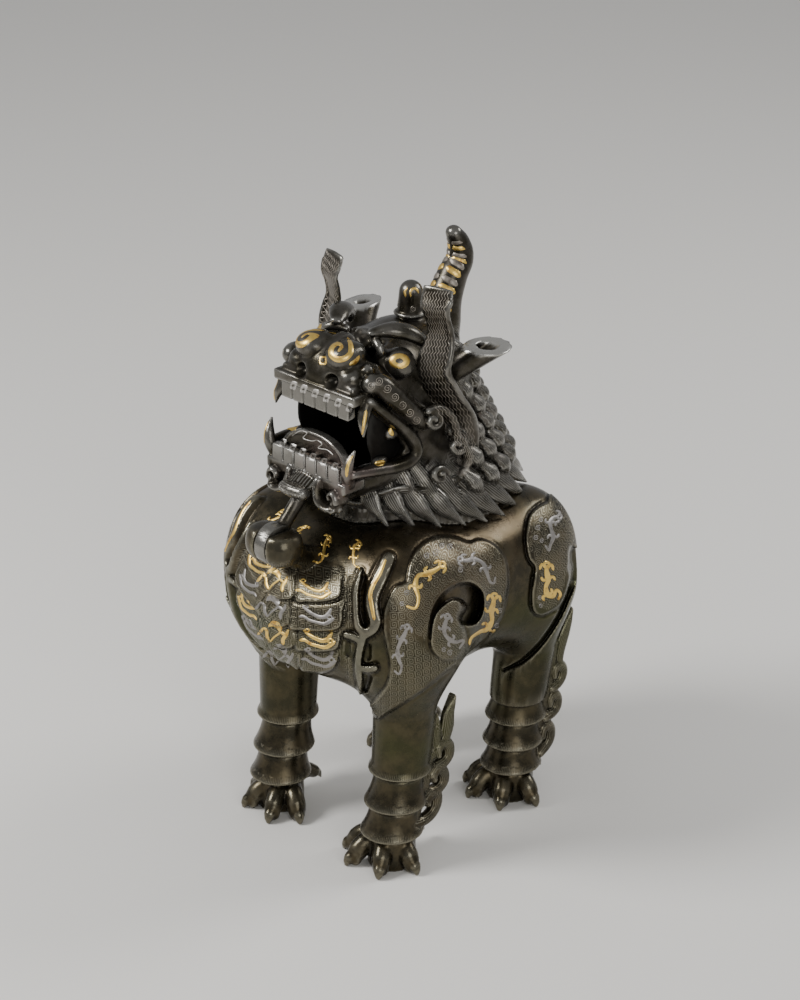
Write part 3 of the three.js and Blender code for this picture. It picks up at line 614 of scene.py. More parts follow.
# A toe, its pad and its claw: reach from the foot's middle and height, half widths and depths, softness
TOE_ROPES = (
    (((8, 20), (17, 19.5), (24, 14.5), (26, 9)), (7.6, 7.4, 7, 5.6), (9, 8.4, 7.4, 5), 1.2),
    (((21.5, 18.5), (24.5, 14.2), (26.5, 8.8)), (7.2, 7.2, 6), (1.8, 1.8, 1.5), 0.6),
    (((22, 12.5), (28, 12), (31.4, 9), (32.6, 6)), (5, 5, 4.2, 2), (5, 5, 4, 1.8), 0),
)


def add_toe(clay, foot, angle):
    way = (math.sin(angle), -math.cos(angle))
    for places, widths, depths, soft in TOE_ROPES:
        line = [(foot[0] + reach * way[0], foot[1] + reach * way[1], z) for reach, z in places]
        clay.sweep(line, widths, depths, (way[1], -way[0], 0), soft=soft)


# Locks of hair behind the legs: x, then places along y and z, with half widths in that plane and across it
CURL = (2.6, 4.6, 5, 4.8, 4.6, 3.8)
LOCKS = (
    (71.5, ((-17, 125), (-19, 119), (-22, 111), (-23, 102), (-25, 95), (-30, 91)),
     (0.8, 4, 5.8, 6.6, 5.4, 3.6), 3.8),
    (71, ((-34, 116), (-33, 108), (-33, 98), (-34, 90), (-37, 84)), (1, 3, 4, 4, 4), 3),
    (71.5, ((-33, 83), (-33, 89), (-27, 91), (-22, 86), (-22, 79), (-27, 75), (-33, 74), (-39, 70)), CURL,
     4.6),
    (71.5, ((-37, 65), (-37, 71), (-31, 71), (-27, 66), (-27, 60), (-32, 56), (-38, 55), (-43, 52)), CURL,
     4.6),
    (71.5, ((-43, 48), (-45, 54), (-39, 56), (-34, 51), (-34, 44), (-39, 38), (-47, 36), (-57, 37)), CURL,
     4.6),
    (70, ((-36, 88), (-41, 78), (-43, 66), (-49, 52), (-54, 40)), (4, 5, 5, 5, 4), 3.4),
    (67, ((111, 145), (108, 134), (103, 122), (100, 113), (99, 105)), (0.8, 4, 5.6, 5.4, 4), 3.6),
    (67, ((93, 95), (94, 101), (99, 102), (103, 97), (102, 91), (97, 87), (91, 86)), CURL, 4.6),
    (67, ((89, 73), (90, 79), (95, 79), (98, 74), (97, 68), (92, 65), (84, 64)), CURL, 4.6),
    (67, ((82, 49), (82, 55), (87, 57), (91, 52), (91, 45), (87, 40), (80, 36)), CURL, 4.6),
    (66, ((94, 122), (92, 108), (90, 94), (86, 80), (80, 64), (75, 48), (70, 38)), (5, 6, 6, 6, 5, 5, 4),
     3.2),
)

# The low tail on the rump: x and height down its middle, and its half widths and half depths
TAIL = ((0, 217), (1, 205), (5, 190), (-3, 172), (4, 156))
TAIL_WIDTHS, TAIL_DEPTHS = (4, 8, 9, 8, 1), (2.6, 3.4, 3.6, 3.6, 1)


def rump_at(x, z):
    """How far back the rump lies."""
    y = np.arange(60, 130, 0.1)
    return y[np.argmin(np.abs(hull((x, y, z))))]


def off_hinge(place, radius):
    """Distance from a round bar along the hinge's axis."""
    return np.hypot(place[1] - HINGE[1], place[2] - HINGE[2]) - radius


def hinge_parts(clay):
    """An arm with an outer part of the hinge's ball, bored for the pin."""
    inner = CENTRE_KNUCKLE + SEAM + 0.5

    def dome(place):
        d = egg(place, (inner, HINGE[1], HINGE[2]), (15.5, HINGE_RADIUS, HINGE_RADIUS), 2.2)
        return np.maximum(d, inner - place[0])

    clay.sweep([(12, -92, 236), (12, -106, 243), (12, -116, 249)], (6, 6.5, 6.5), (9, 9, 9))
    clay.cut((0, -140, 228), (CENTRE_KNUCKLE + 1, -96, 275),
             lambda p: off_hinge(p, KNUCKLE_ROOM) + np.maximum(p[0] - CENTRE_KNUCKLE - 1, 0) * 9)
    clay.add((0, -135, 234), (26, -98, 270), dome)
    clay.cut((0, -122, 247), (19, -112, 257),
             lambda p: np.maximum(off_hinge(p, PIN_HOLE), p[0] - PIN_DEPTH))


def neck_column(place, wider=0):
    """Rough distance from an upright oval column through the neck."""
    across = place[0] / (NECK_RADII[0] + wider)
    along = (place[1] - NECK_CENTRE_Y) / (NECK_RADII[1] + wider)
    return (np.hypot(across, along) - 1) * 50


def body_clay():
    low, high = BODY_BOX
    clay = Clay(low, high, BODY_GRID)
    spans, place = clay.window((low[0], low[1], HULL_LOW), high)
    shell = hull(place).astype(np.float32)
    surface = with_legs(shell, place).astype(np.float32)
    clay.merge(spans, surface - raised(surface, place, clay.step))
    for leg in (FRONT_LEG, REAR_LEG):
        add_leg(clay, leg)
    for x, places, halves, thick in LOCKS:
        clay.sweep([(x, y, z) for y, z in places], [thick], halves, hatch=True)
    hinge_parts(clay)
    clay.remove(spans, shell + BODY_WALL)
    clay.remove(spans, np.maximum(neck_column(place), NECK_LOW - place[2]))
    clay.remove(EVERYWHERE, clay.everywhere()[2] - GROUND)
    clay.mirror()
    tail = [(x, rump_at(x, z) + 1, z) for x, z in TAIL]
    clay.sweep(tail, TAIL_WIDTHS, TAIL_DEPTHS, soft=1.5, hatch=True)
    return clay


def raised(surface, place, step):
    """How far the relief stands out of a body's surface, near that surface."""
    near = np.abs(surface) < 7
    slope = np.stack([g[near] for g in np.gradient(surface, step)], axis=1)
    slope /= np.linalg.norm(slope, axis=1)[:, None] + 1e-6
    shown = in_picture(*(np.broadcast_to(p, surface.shape)[near] for p in place))
    height = np.zeros_like(surface)
    height[near] = flank_relief().at(*shown) * np.clip((slope @ TOWARDS - 0.02) / 0.26, 0, 1)
    return height


# Head

HEAD_WALL = 6
EYE_CENTRE = (33, -31, 367)
EYE_RADIUS = 11
MOLARS = ((391, 432), (380, 463))  # where they show in the picture
MOUTH = (
    (-125, 349), (-66, 349), (-54, 344), (-42, 330), (-34, 316), (-37, 305), (-50, 298), (-66, 296),
    (-125, 296),
)
TEETH = 6
TOOTH_PITCH, TOOTH_HALF = 10.8, 4.95
# The near ribbon as it shows in the picture: how far down, and its left and right edge
RIBBON_SHOWN = (
    (289, 424, 453), (300, 422, 451.5), (310, 423, 447.5), (320, 427, 449.5), (333, 428, 452.5),
    (346, 423, 452.5), (358, 419.5, 450.5), (370, 419.5, 448.5), (382, 421, 455), (394, 427, 461),
    (406, 433, 469), (419, 440.5, 475.5), (431, 446.5, 477.5), (446, 454, 478), (460, 457, 474.5),
    (472, 457, 469), (482, 458, 463),
)
RIBBON_LEVELS = (49, 49.5, 50, 50, 50, 50, 50, 50, 50.2, 50.4, 50.4, 50.4, 50.4, 50, 49.4, 48.6, 47.6)
# The ribbon's width faces the front above and the side below
FRONT_TURN, SIDE_TURN = (0.97, 0.24, 0), (0.6, 0.8, 0)
RIBBON_TURNS = [FRONT_TURN] * 8 + [(0.93, 0.37, 0), (0.86, 0.51, 0), (0.77, 0.64, 0)] + [SIDE_TURN] * 6
HORN = ((0, 40, 352), (0, 45, 378), (0, 54, 397), (0, 62, 408), (0, 61, 420), (0, 56, 428.6))
HORN_WIDTHS = (14, 14, 12, 10.6, 9.2, 6.2)
HORN_DEPTHS = (16, 15, 12.4, 10.6, 9.2, 5.4)
EAR_WAY = (0.13, 0, 0.99)
EAR_MOUTH = (60, 26, 371)
EAR_SIDE = (-0.75, 0.66, 0)
LID_HOLLOW_TOP = 300  # of the hollow that is open below
COLLAR_TOP, COLLAR_ROOM = 285, 6  # of the room for the body's neck, and how much wider than the neck it is
HEAD_BOX, HEAD_GRID = ((0, -138, 228), (80, 112, 438)), 0.9


def head_masses(place):
    """The head and neck without their features."""
    neck = cone((place[0], place[1] / 1.2, place[2]), (0, 13 / 1.2, 240), (0, 10 / 1.2, 322), (64, 42))
    return blend(joined(HEAD_MASSES, place), neck, 12)


def spiral(px, py, size, start, turns, way=1, inner=0.28, count=12):
    """Pixels along a spiral, from its outer end inwards; it starts so many degrees from the right."""
    spots = []
    for t in np.linspace(0, 1, count):
        angle = math.radians(start) + way * t * turns * FULL_TURN
        radius = size * (1 - (1 - inner) * t)
        spots.append((px + radius * math.cos(angle), py - radius * math.sin(angle)))
    return spots


def cheek_skin(x, y, side, masses):
    """The thin wall that closes each side of the mouth behind its fangs."""
    skin = np.maximum(np.abs(x - 34.5) - 2, -72 - y)
    return np.maximum(np.maximum(skin, side[None] - 4), masses + 1)


# Ropes of the lips: each place's pixels and x, then half widths
LIPS = (
    (((370, 402, 40), (390, 417, 42), (407, 432, 44), (416, 447, 45), (412, 459, 45), (398, 466.5, 44.5),
      (376, 471, 43), (353, 475, 40)), (3.4, 4, 4.4, 4.8, 4.8, 4.4, 4, 3.4)),
    (((368, 407, 38), (386, 420, 39), (399, 433, 40), (406, 448, 40.5), (401, 458, 40.5), (387, 464.5, 40),
      (366, 469, 38.5)), (2, 2.4, 2.6, 2.8, 2.8, 2.4, 2)),
)
# Planks in the mouth: the corners between which each lies, its centre, halves, rounding and softness
GUMS = (
    (((0, -95, 344), (46, -55, 362)), (0, -71, 353.5), (38.5, 8.6, 3.8), 1.6, 0),
    (((0, -95, 354), (46, -50, 366)), (0, -68, 359), (34, 8, 3), 2.4, 3),
    (((0, -105, 280), (46, -55, 302)), (0, -78, 292.5), (37.5, 10.4, 4.2), 1.6, 0),
    (((0, -105, 276), (46, -55, 300)), (0, -74, 286), (34, 12, 5), 3, 3),
    (((0, -80, 332), (36, -60, 356)), (0, -73.4, 345), (32, 2.6, 5.8), 0.5, 0),
    (((0, -95, 290), (36, -70, 312)), (0, -83, 301), (32, 2.6, 5.4), 0.5, 0),
    (((0, -85, 288), (38, -50, 304)), (0, -64, 295), (35, 18, 3.5), 2, 0),
)
# Rows of front teeth: low and high corners along y and z, then each tooth's y, z and half height
TOOTH_ROWS = (
    ((-90, 332), (-60, 358), (-75.3, 344.6, 6.4)),
    ((-100, 290), (-70, 312), (-85, 301, 6.2)),
)
FANGS = (
    (((37.6, -66, 351), (38.8, -70.5, 342), (41, -73, 336), (42, -74, 329.5)), (4.4, 4.4, 3.2, 0.9)),
    (((35, -81, 296), (37, -84.5, 305), (38.5, -83.6, 313), (40, -80, 320.5)), (4.4, 4.4, 3.4, 0.9)),
)


def add_mouth(clay, masses):
    line = through([*MOUTH, MOUTH[0]], 90)[:-1]
    x, y, z = clay.everywhere()
    side = from_outline(line, y[0], z[0])
    clay.remove(EVERYWHERE, side[None])
    clay.remove(EVERYWHERE, np.maximum(masses + HEAD_WALL, -60 - y))
    clay.merge(EVERYWHERE, cheek_skin(x, y, side, masses))
    for spots, halves in LIPS:
        clay.sweep(seen(*spots), halves)
    for px, py in MOLARS:
        (place,) = seen((px, py, 37.5))
        low, high = np.subtract(place, 12), np.add(place, 12)
        clay.add(low, high, lambda p: egg(p, place, (4, 6.5, 5), 2.2), soft=1)
    for corners, centre, halves, rounding, soft in GUMS:
        clay.add(*corners, lambda p: plank(p, centre, halves, rounding), soft)
    for i in range(TEETH // 2):
        x0 = (i + 0.5) * TOOTH_PITCH
        for low, high, (y0, z0, half) in TOOTH_ROWS:
            centre, halves = (x0, y0, z0), (TOOTH_HALF, 2.9, half)
            clay.add((x0 - 9, *low), (x0 + 9, *high), lambda p: plank(p, centre, halves, 0.9))
    clay.add((0, -90, 290), (36, -65, 326), tongue)
    for points, halves in FANGS:
        clay.sweep(points, halves)


def tongue(p):
    """A tongue's rounded tip that stands behind the lower teeth, with a raised edge."""
    leaning = np.abs(p[1] + 77 - (p[2] - 303) * 0.12)
    face = np.maximum((np.hypot(p[0] / 30, (p[2] - 303) / 17.5) - 1) * 17, leaning - 2.4)
    rim = np.abs(np.hypot(p[0] / 29, (p[2] - 303) / 16.5) - 1) * 17 - 1.2
    return np.minimum(face, np.maximum(rim, leaning - 3.3))


FACE = ((0, -100, 335), (56, 10, 405))
# The nose's block, saddle, lobes, wings and the backs of the wings: centre, radii, squareness and softness
NOSE = (
    ((0, -57, 365.5), (25, 17.5, 13.5), 2.8, 4),
    ((0, -44, 376), (10, 22, 9), 2.2, 6),
    ((14, -62, 376.5), (12.4, 13.8, 9), 2.4, 2),
    ((23, -65, 363), (9.6, 10.5, 9.5), 2.3, 2),
    ((31, -59, 368), (4.6, 5.4, 5.4), 2, 1),
)
NOSE_GROOVES = (
    (((0, -80, 370), (0, -75, 381), (0, -60, 386), (0, -44, 387)), (3, 3, 3.4, 2.4), 2.4),
    (((9, -80, 369), (16, -79, 369.6), (24, -74.5, 371), (31, -66, 374)), (1.5, 1.7, 1.7, 1.2), 1.6),
)
BROW_PITS = ((357, 330, 5), (364, 337, 5.8), (371, 345, 7), (374, 354, 7), (379, 340, 5))
BROW = ((370, 333, 16), (381, 331, 20), (394, 330, 25.5), (409, 333, 31), (421, 340, 35), (428, 348, 37.5))
BROW_WIDTHS, BROW_DEPTHS = (2.4, 4.6, 5.8, 5.8, 4.6, 2), (4.4, 6.8, 8, 7.6, 6, 2.6)
BROW_CURL = ((13, -35, 380), (20, -40, 382), (26, -42, 379), (26, -41, 374), (22, -39, 373))
CHEEK_ROLL = (
    (372, 384, 38), (381, 385, 41), (390, 393, 44), (402, 404, 46.5), (414, 415, 48.5), (424, 424, 49.5),
)
CHEEK_RIM = ((381, 375, 41), (392, 381, 45), (405, 392, 48), (417, 403, 50), (428, 409, 51))


def add_face(clay):
    for centre, radii, power, soft in NOSE:
        clay.add(*FACE, lambda p: egg(p, centre, radii, power), soft)
    clay.cut(*FACE, lambda p: egg(p, (14.6, -78.5, 362), (5.6, 8, 5)), soft=1.5)
    for points, halves, soft in NOSE_GROOVES:
        clay.sweep(points, halves, soft=soft, cut=True)
    for px, py, size in BROW_PITS:
        (spot,) = clay.landed((px, py), lift=1.6)
        clay.cut(*FACE, lambda p: egg(p, spot, (size, size, size)), soft=2)
    # hollow round the eye, the ball and the fold before it
    clay.cut(*FACE, lambda p: egg(p, (39, -38, 372), (12, 12, 10)), soft=4)
    clay.add(*FACE, lambda p: egg(p, EYE_CENTRE, (EYE_RADIUS,) * 3))
    clay.add(*FACE, lambda p: egg(p, (25, -36, 365), (8, 10, 10), 2), soft=2)
    clay.sweep(seen(*BROW), BROW_WIDTHS, BROW_DEPTHS, (0.1, 0.3, 0.9), soft=0.5)
    clay.sweep(BROW_CURL, [2.8, 3.2, 3, 2.2], soft=0.8)
    clay.sweep(seen(*CHEEK_ROLL), [7, 7.6, 7.6, 7.2, 6.4, 4.6], soft=1)
    clay.sweep(seen(*CHEEK_RIM), [1.2, 1.5, 1.7, 1.7, 1.4], soft=0.6)


# The scroll that frames the cheek, with a curl at each end and one in its middle
CHEEK_CURLS = (
    (spiral(433, 421, 8.6, 95, 1.15, -1), 54.5, 56, (2.6, 2.4, 2.4)),
    (spiral(457, 446, 9.4, 100, 1.15, -1), 56, 57.5, (2.6, 2.4, 2.4)),
    (spiral(440, 475.5, 8.6, 20, 1.15, 1), 54.5, 56, (2.6, 2.4, 2.4)),
    (((428, 411), (438, 408), (448, 413), (454, 423), (457, 436)), 54, 56, (2.6, 3.2, 3.4, 3.2)),
    (((466, 448), (468, 461), (461, 475), (449, 483)), 56, 54.5, (3, 3.4, 3.4, 2.8)),
)


CHIN_CURL = (
    (15, -86, 293), (14.6, -88, 286), (18, -89, 279.5), (26, -89, 277.5), (32.4, -88, 283),
    (30.6, -88, 289), (26, -88, 288), (25.6, -88, 284.4),
)


def add_cheek(clay):
    for spots, first, last, halves in CHEEK_CURLS:
        levels = np.linspace(first, last, len(spots))
        clay.sweep(seen(*((px, py, x) for (px, py), x in zip(spots, levels))), halves)
    flap = clay.landed((350, 501), (364, 503), (378, 496), (396, 491), (414, 492), (430, 490), lift=2.5)
    clay.sweep(flap, [3, 4, 4.4, 4, 3], [6, 8, 8.4, 7.4, 4], side=(0.8, 0, -0.6), hatch=True)


def add_chin(clay):
    """A beard that rolls forward between two curls, over the strap to the hinge."""
    beard = [(0, -82, 293), (0, -90, 289), (0, -97, 284)]
    roll = [(-8, -98.5, 285.5), (0, -99.6, 285.5), (8, -98.5, 285.5)]
    clay.sweep(beard, [11.5, 11.5, 11], [4, 4.4, 4], soft=1, hatch=True)
    clay.sweep(roll, [4.6], [4.6], (0, 0, 1), soft=3, hatch=True)
    clay.sweep(CHIN_CURL, [2.8, 3, 3, 2.8, 2.6, 2.2, 1.8], [6, 6.4, 6.4, 6, 5.4, 5, 4.4], (0.7, 0, 0.7))
    clay.sweep([(33, -84, 292), (34, -85, 284), (31, -86, 279)], [2.4, 2.4, 1.6], [5, 4.6, 4])
    clay.sweep([(0, -86, 285), (0, -97, 274), (0, -113, 258)], [4.9], [6, 5, 5])


def ear_level(place):
    """Height over the plane in which the ears are cut."""
    return sum((place[k] - EAR_MOUTH[k]) * EAR_WAY[k] for k in range(3))


def add_crown(clay):
    clay.sweep(HORN, HORN_WIDTHS, HORN_DEPTHS, soft=4)
    # bud before the horn, on two rings
    clay.sweep([(0, 13, 360), (0, 13.4, 380), (0, 14, 397)], [10.6, 9.4, 8.2], soft=2)
    for z, radius in ((377, 12.6), (382.5, 11)):
        radii = (radius, radius, 2.4)
        clay.add((0, -6, 366), (18, 34, 388), lambda p: egg(p, (0, 13.4, z), radii, 2.4), soft=0.8)
    add_ribbon(clay)
    add_ear(clay)


def add_ribbon(clay):
    """A flat ribbon with a raised edge behind."""
    shown = [((left + right) / 2, py, x) for (py, left, right), x in zip(RIBBON_SHOWN, RIBBON_LEVELS)]
    middles = seen(*shown)
    halves = [(right - left) / 2 * DISTANCE / FOCAL / np.dot(turn, RIGHT)
              for (_, left, right), turn in zip(RIBBON_SHOWN, RIBBON_TURNS)]
    clay.sweep(middles, halves, [1.6, 2.2] + [2.4] * 7 + [2], side=RIBBON_TURNS)
    edge = [np.array(middle) + np.array(turn) * (half - 1.6)
            for middle, turn, half in zip(middles, RIBBON_TURNS, halves)]
    clay.sweep(edge[1:], [1.9, 2.2, 2.3, 2.3, 2.3, 2.3, 2.2, 1.6])


def add_ear(clay):
    """A tube that widens upwards, bored and cut level."""
    tube = Clay(*HEAD_BOX, HEAD_GRID)
    tube.sweep([(40, 3, 349), (60, 26, 371), (71, 39, 383)], [8, 12, 17], [8, 10, 12], EAR_SIDE)
    bore = [(50, 14, 360), (58.4, 24.4, 369.4), (68, 36, 380)]
    tube.sweep(bore, [3, 6, 8.4], [2.6, 4.8, 6.6], EAR_SIDE, cut=True)
    tube.remove(EVERYWHERE, -ear_level(tube.everywhere()), 0.8)
    clay.merge(EVERYWHERE, tube.grid)


def ring_place(angle, size, height):
    """A place on the mane's ring, at an angle in degrees from the front."""
    a = math.radians(angle)
    return np.array([70 * size * math.sin(a), 18 * size ** 2 - 88 * size * math.cos(a), height])


def sideways(angle):
    return math.cos(math.radians(angle)), math.sin(math.radians(angle)), 0


# Long beads on the nape: each row's share of the mane's ring, its height and its number of beads
BEAD_ROWS = (
    (0.46, 357, 3), (0.53, 345, 4), (0.59, 332, 5), (0.65, 318, 5), (0.71, 304, 6), (0.78, 289, 7),
    (0.85, 274, 7),
)
TUFTS = 12  # on each side
TUFT_STEP = 12.9
FIRST_TUFT = 38
TUFT_TWIST = 24  # degrees by which each tuft turns to overlap the one behind it
TUFT_LEAN = 15  # degrees by which a tuft's root lies ahead of its tip


TIP_ANGLES = (38, 50, 75, 90, 105, 120, 140, 180)
TIP_HEIGHTS = (256, 255.5, 250, 246, 243, 243, 245, 249)


def add_mane(clay):
    for row, (size, height, count) in enumerate(BEAD_ROWS):
        for i in range(count):
            angle = 90 + (183 - 90) * (i + 0.5 * (row % 2)) / (count - 0.5)
            start = ring_place(angle - 4, size - 0.03, height + 8.5)
            middle = ring_place(angle, size + 0.025, height)
            end = ring_place(angle + 4, size + 0.035, height - 8)
            bead = [start, middle, end]
            clay.sweep(bead, [3.6, 6.4, 3], [3.2, 5.6, 2.8], sideways(angle), soft=0.5, hatch=True)
    for layer, (size, lift) in enumerate(((0.9, 13), (1.0, 0))):
        for i in range(TUFTS):
            angle = FIRST_TUFT + TUFT_STEP * (i + 0.5 - 0.5 * layer)
            tip = ring_place(angle, size, float(np.interp(angle, TIP_ANGLES, TIP_HEIGHTS)) + lift)
            near = ring_place(angle - 2.5, size - 0.03, tip[2] + 4.5)
            middle = ring_place(angle - TUFT_LEAN * 0.55, size - 0.09, tip[2] + 14)
            root = ring_place(angle - TUFT_LEAN, size - 0.2, tip[2] + 28)
            tuft, side = [root, middle, near, tip], sideways(angle - TUFT_TWIST)
            clay.sweep(tuft, [6.2, 7.6, 4.4, 0.8], [3, 3.6, 2.6, 0.8], side, hatch=True)


def head_clay():
    clay = Clay(*HEAD_BOX, HEAD_GRID)
    place = clay.everywhere()
    masses = head_masses(place).astype(np.float32)
    clay.merge(EVERYWHERE, masses)
    add_mouth(clay, masses)
    add_face(clay)
    add_cheek(clay)
    add_chin(clay)
    add_crown(clay)
    add_mane(clay)
    # open below, and cut to the body that it rests on
    clay.remove(EVERYWHERE, np.maximum(masses + HEAD_WALL, place[2] - LID_HOLLOW_TOP))
    clay.remove(EVERYWHERE, np.maximum(neck_column(place, COLLAR_ROOM), place[2] - COLLAR_TOP))
    clay.remove(EVERYWHERE, with_legs(hull(place), place) - SEAM)
    clay.cut((0, -140, 228), (30, -90, 275),
             lambda p: np.maximum(off_hinge(p, KNUCKLE_ROOM), CENTRE_KNUCKLE + 0.4 - p[0]))
    clay.add((0, -140, 230), (8, -95, 275),
             lambda p: np.maximum(off_hinge(p, HINGE_RADIUS), p[0] - CENTRE_KNUCKLE))
    clay.cut((0, -122, 247), (8, -112, 257), lambda p: off_hinge(p, PIN_HOLE))
    clay.mirror()
    return clay


# Meshes

PIECE_LIMIT = 192000  # triangles
# What lies further than SQUEEZE_FROM from the middle is brought in by the share SQUEEZE
SQUEEZE_FROM, SQUEEZE = 92, 0.26


def new_mesh(name, places, faces):
    """A mesh in metres in the finished frame, from places in millimetres in the drawing's."""
    places = np.asarray(places, np.float64)
    faces = np.asarray(faces)
    mesh = bpy.data.meshes.new(name)
    mesh.vertices.add(len(places))
    mesh.vertices.foreach_set("co", ((places + SHIFT) * MM).ravel())
    mesh.loops.add(faces.size)
    mesh.loops.foreach_set("vertex_index", faces.ravel().astype(np.int32))
    mesh.polygons.add(len(faces))
    mesh.polygons.foreach_set("loop_start", np.arange(0, faces.size, faces.shape[1], dtype=np.int32))
    mesh.polygons.foreach_set("use_smooth", np.ones(len(faces), bool))
    mesh.update(calc_edges=True)
    mesh.validate()
    piece = bpy.data.objects.new(name, mesh)
    bpy.context.scene.collection.objects.link(piece)
    return piece


def thinned(piece, limit):
    """Leaves a piece with at most so many triangles, fewest where it is flat."""
    count = sum(len(p.vertices) - 2 for p in piece.data.polygons)
    if count > limit:
        modifier = piece.modifiers.new("thin", "DECIMATE")
        modifier.ratio = limit / count
        graph = bpy.context.evaluated_depsgraph_get()
        thin = bpy.data.meshes.new_from_object(piece.evaluated_get(graph))
        piece.modifiers.clear()
        piece.data = thin
    piece.data.shade_smooth()
    return piece


def vertex_values(piece, name):
    flat = np.zeros(len(piece.data.vertices) * 3)
    piece.data.vertices.foreach_get(name, flat)
    return flat.reshape(-1, 3)


def places_of(piece):
    """A piece's vertices in millimetres in the drawing's frame."""
    return vertex_values(piece, "co") / MM - SHIFT


def near_side(piece):
    """The vertices' x, y and z, mirrored to the beast's left half."""
    return to_left(places_of(piece).T)


def cast(name, clay):
    return thinned(new_mesh(name, *clay.faces()), PIECE_LIMIT)


def squeeze(piece):
    """Presses the widest relief in, so that the casting stays as wide as its solid."""
    places = places_of(piece)
    out = np.maximum(np.abs(places[:, 0]) - SQUEEZE_FROM, 0)
    places[:, 0] -= np.sign(places[:, 0]) * out * SQUEEZE
    piece.data.vertices.foreach_set("co", ((places + SHIFT) * MM).ravel())
    piece.data.update()


# Marks on the meshes that the materials read

def mark(piece, name, values):
    kind = "FLOAT" if values.ndim == 1 else "FLOAT_VECTOR"
    layer = piece.data.attributes.new(name, kind, "POINT")
    layer.data.foreach_set("value" if values.ndim == 1 else "vector", values.astype(np.float32).ravel())


def summed(count, ends, at_starts, at_ends):
    """What edges bring to each vertex, at their starts and at their ends."""
    total = np.zeros(count)
    np.add.at(total, ends[0], at_starts)
    np.add.at(total, ends[1], at_ends)
    return total


def mark_crests(piece):
    """Marks edges that stand out, from 0 in hollows to 1 on crests."""
    places, normals = places_of(piece), vertex_values(piece, "normal")
    count = len(places)
    flat = np.zeros(len(piece.data.edges) * 2, np.int32)
    piece.data.edges.foreach_get("vertices", flat)
    a, b = ends = flat.reshape(-1, 2).T
    share = np.maximum(summed(count, ends, 1, 1), 1)
    step = places[b] - places[a]
    length = np.linalg.norm(step, axis=1) + 1e-9
    bends = -(step * normals[a]).sum(1) / length, (step * normals[b]).sum(1) / length
    bend = summed(count, ends, *bends) / share
    for _ in range(2):
        bend = 0.5 * bend + 0.5 * summed(count, ends, bend[b], bend[a]) / share
    mark(piece, "crest", np.clip(0.5 + bend * 2.2, 0, 1))


def mark_hatching(piece, clay):
    """Lines engraved along ropes of hair: millimetres across each rope, and where they show."""
    places = np.stack(near_side(piece), axis=1)
    across, shown = np.zeros(len(places)), np.zeros(len(places))
    closest = np.full(len(places), 1.35)
    for line, wide, deep, side in clay.strokes:
        reach = max(wide.max(), deep.max()) * 1.4
        inside = (places > line.min(0) - reach) & (places < line.max(0) + reach)
        near = np.flatnonzero(np.all(inside, axis=1))
        for i in range(len(line) - 1):
            length, along, u_way, v_way = rope_ways(line[i + 1] - line[i], side)
            q = places[near] - line[i]
            travel, u, v = q @ along, q @ u_way, q @ v_way
            past = np.maximum(np.maximum(-travel, travel - length), 0)
            level = np.sqrt((u / wide[i]) ** 2 + (v / deep[i]) ** 2 + (past / min(wide[i], deep[i])) ** 2)
            best = level < closest[near]
            index = near[best]
            closest[index] = level[best]
            offset, half = (u, wide[i]) if wide[i] >= deep[i] else (v, deep[i])
            across[index] = offset[best] / half * 6
            shown[index] = 1
    return across, shown


def mark_legs(piece, across, shown):
    """Adds the upright hatching on the rings of skin round the legs."""
    x, y, z = near_side(piece)
    for leg in (FRONT_LEG, REAR_LEG):
        cx, cy = leg_axis(z, leg)
        out = np.hypot(x - cx, y - cy)
        edges = np.array(leg["rings"])
        near = (out < 26) & (z > edges[0]) & (z < edges[2] + 10) & (shown == 0)
        above = z[:, None] - edges[None]
        band = np.where(above >= 0, above, 99).min(1)
        near &= band < 8
        across[near] = (np.arctan2(y - cy, x - cx) * 21)[near]
        shown[near] = 0.75 * np.clip((8 - band[near]) / 5, 0, 1)


# Inlay: strips of gold and silver laid on the castings along lines that are drawn on the picture

# Across a strip: shares of its half width, and of its lift
STRIP_SECTION = ((-1, -0.25), (-0.6, 0.8), (0, 1), (0.6, 0.8), (1, -0.25))
DISC_LIFT = 0.35
GAP = 5  # millimetres between neighbouring places over which a strip breaks off
# A small dragon's legs: where each leaves the body, to which side, and how far it leans back
DRAGON_LEGS = ((3, 1, -1.4), (3, -1, -1.4), (11, 1, 1), (11, -1, -1), (22, 1, -1), (22, -1, 1))
DRAGON_BODY = (0.8, 1.0, 1.35, 0.95, 0.85, 1.25, 1, 0.75, 0.65, 0.6, 0.5)


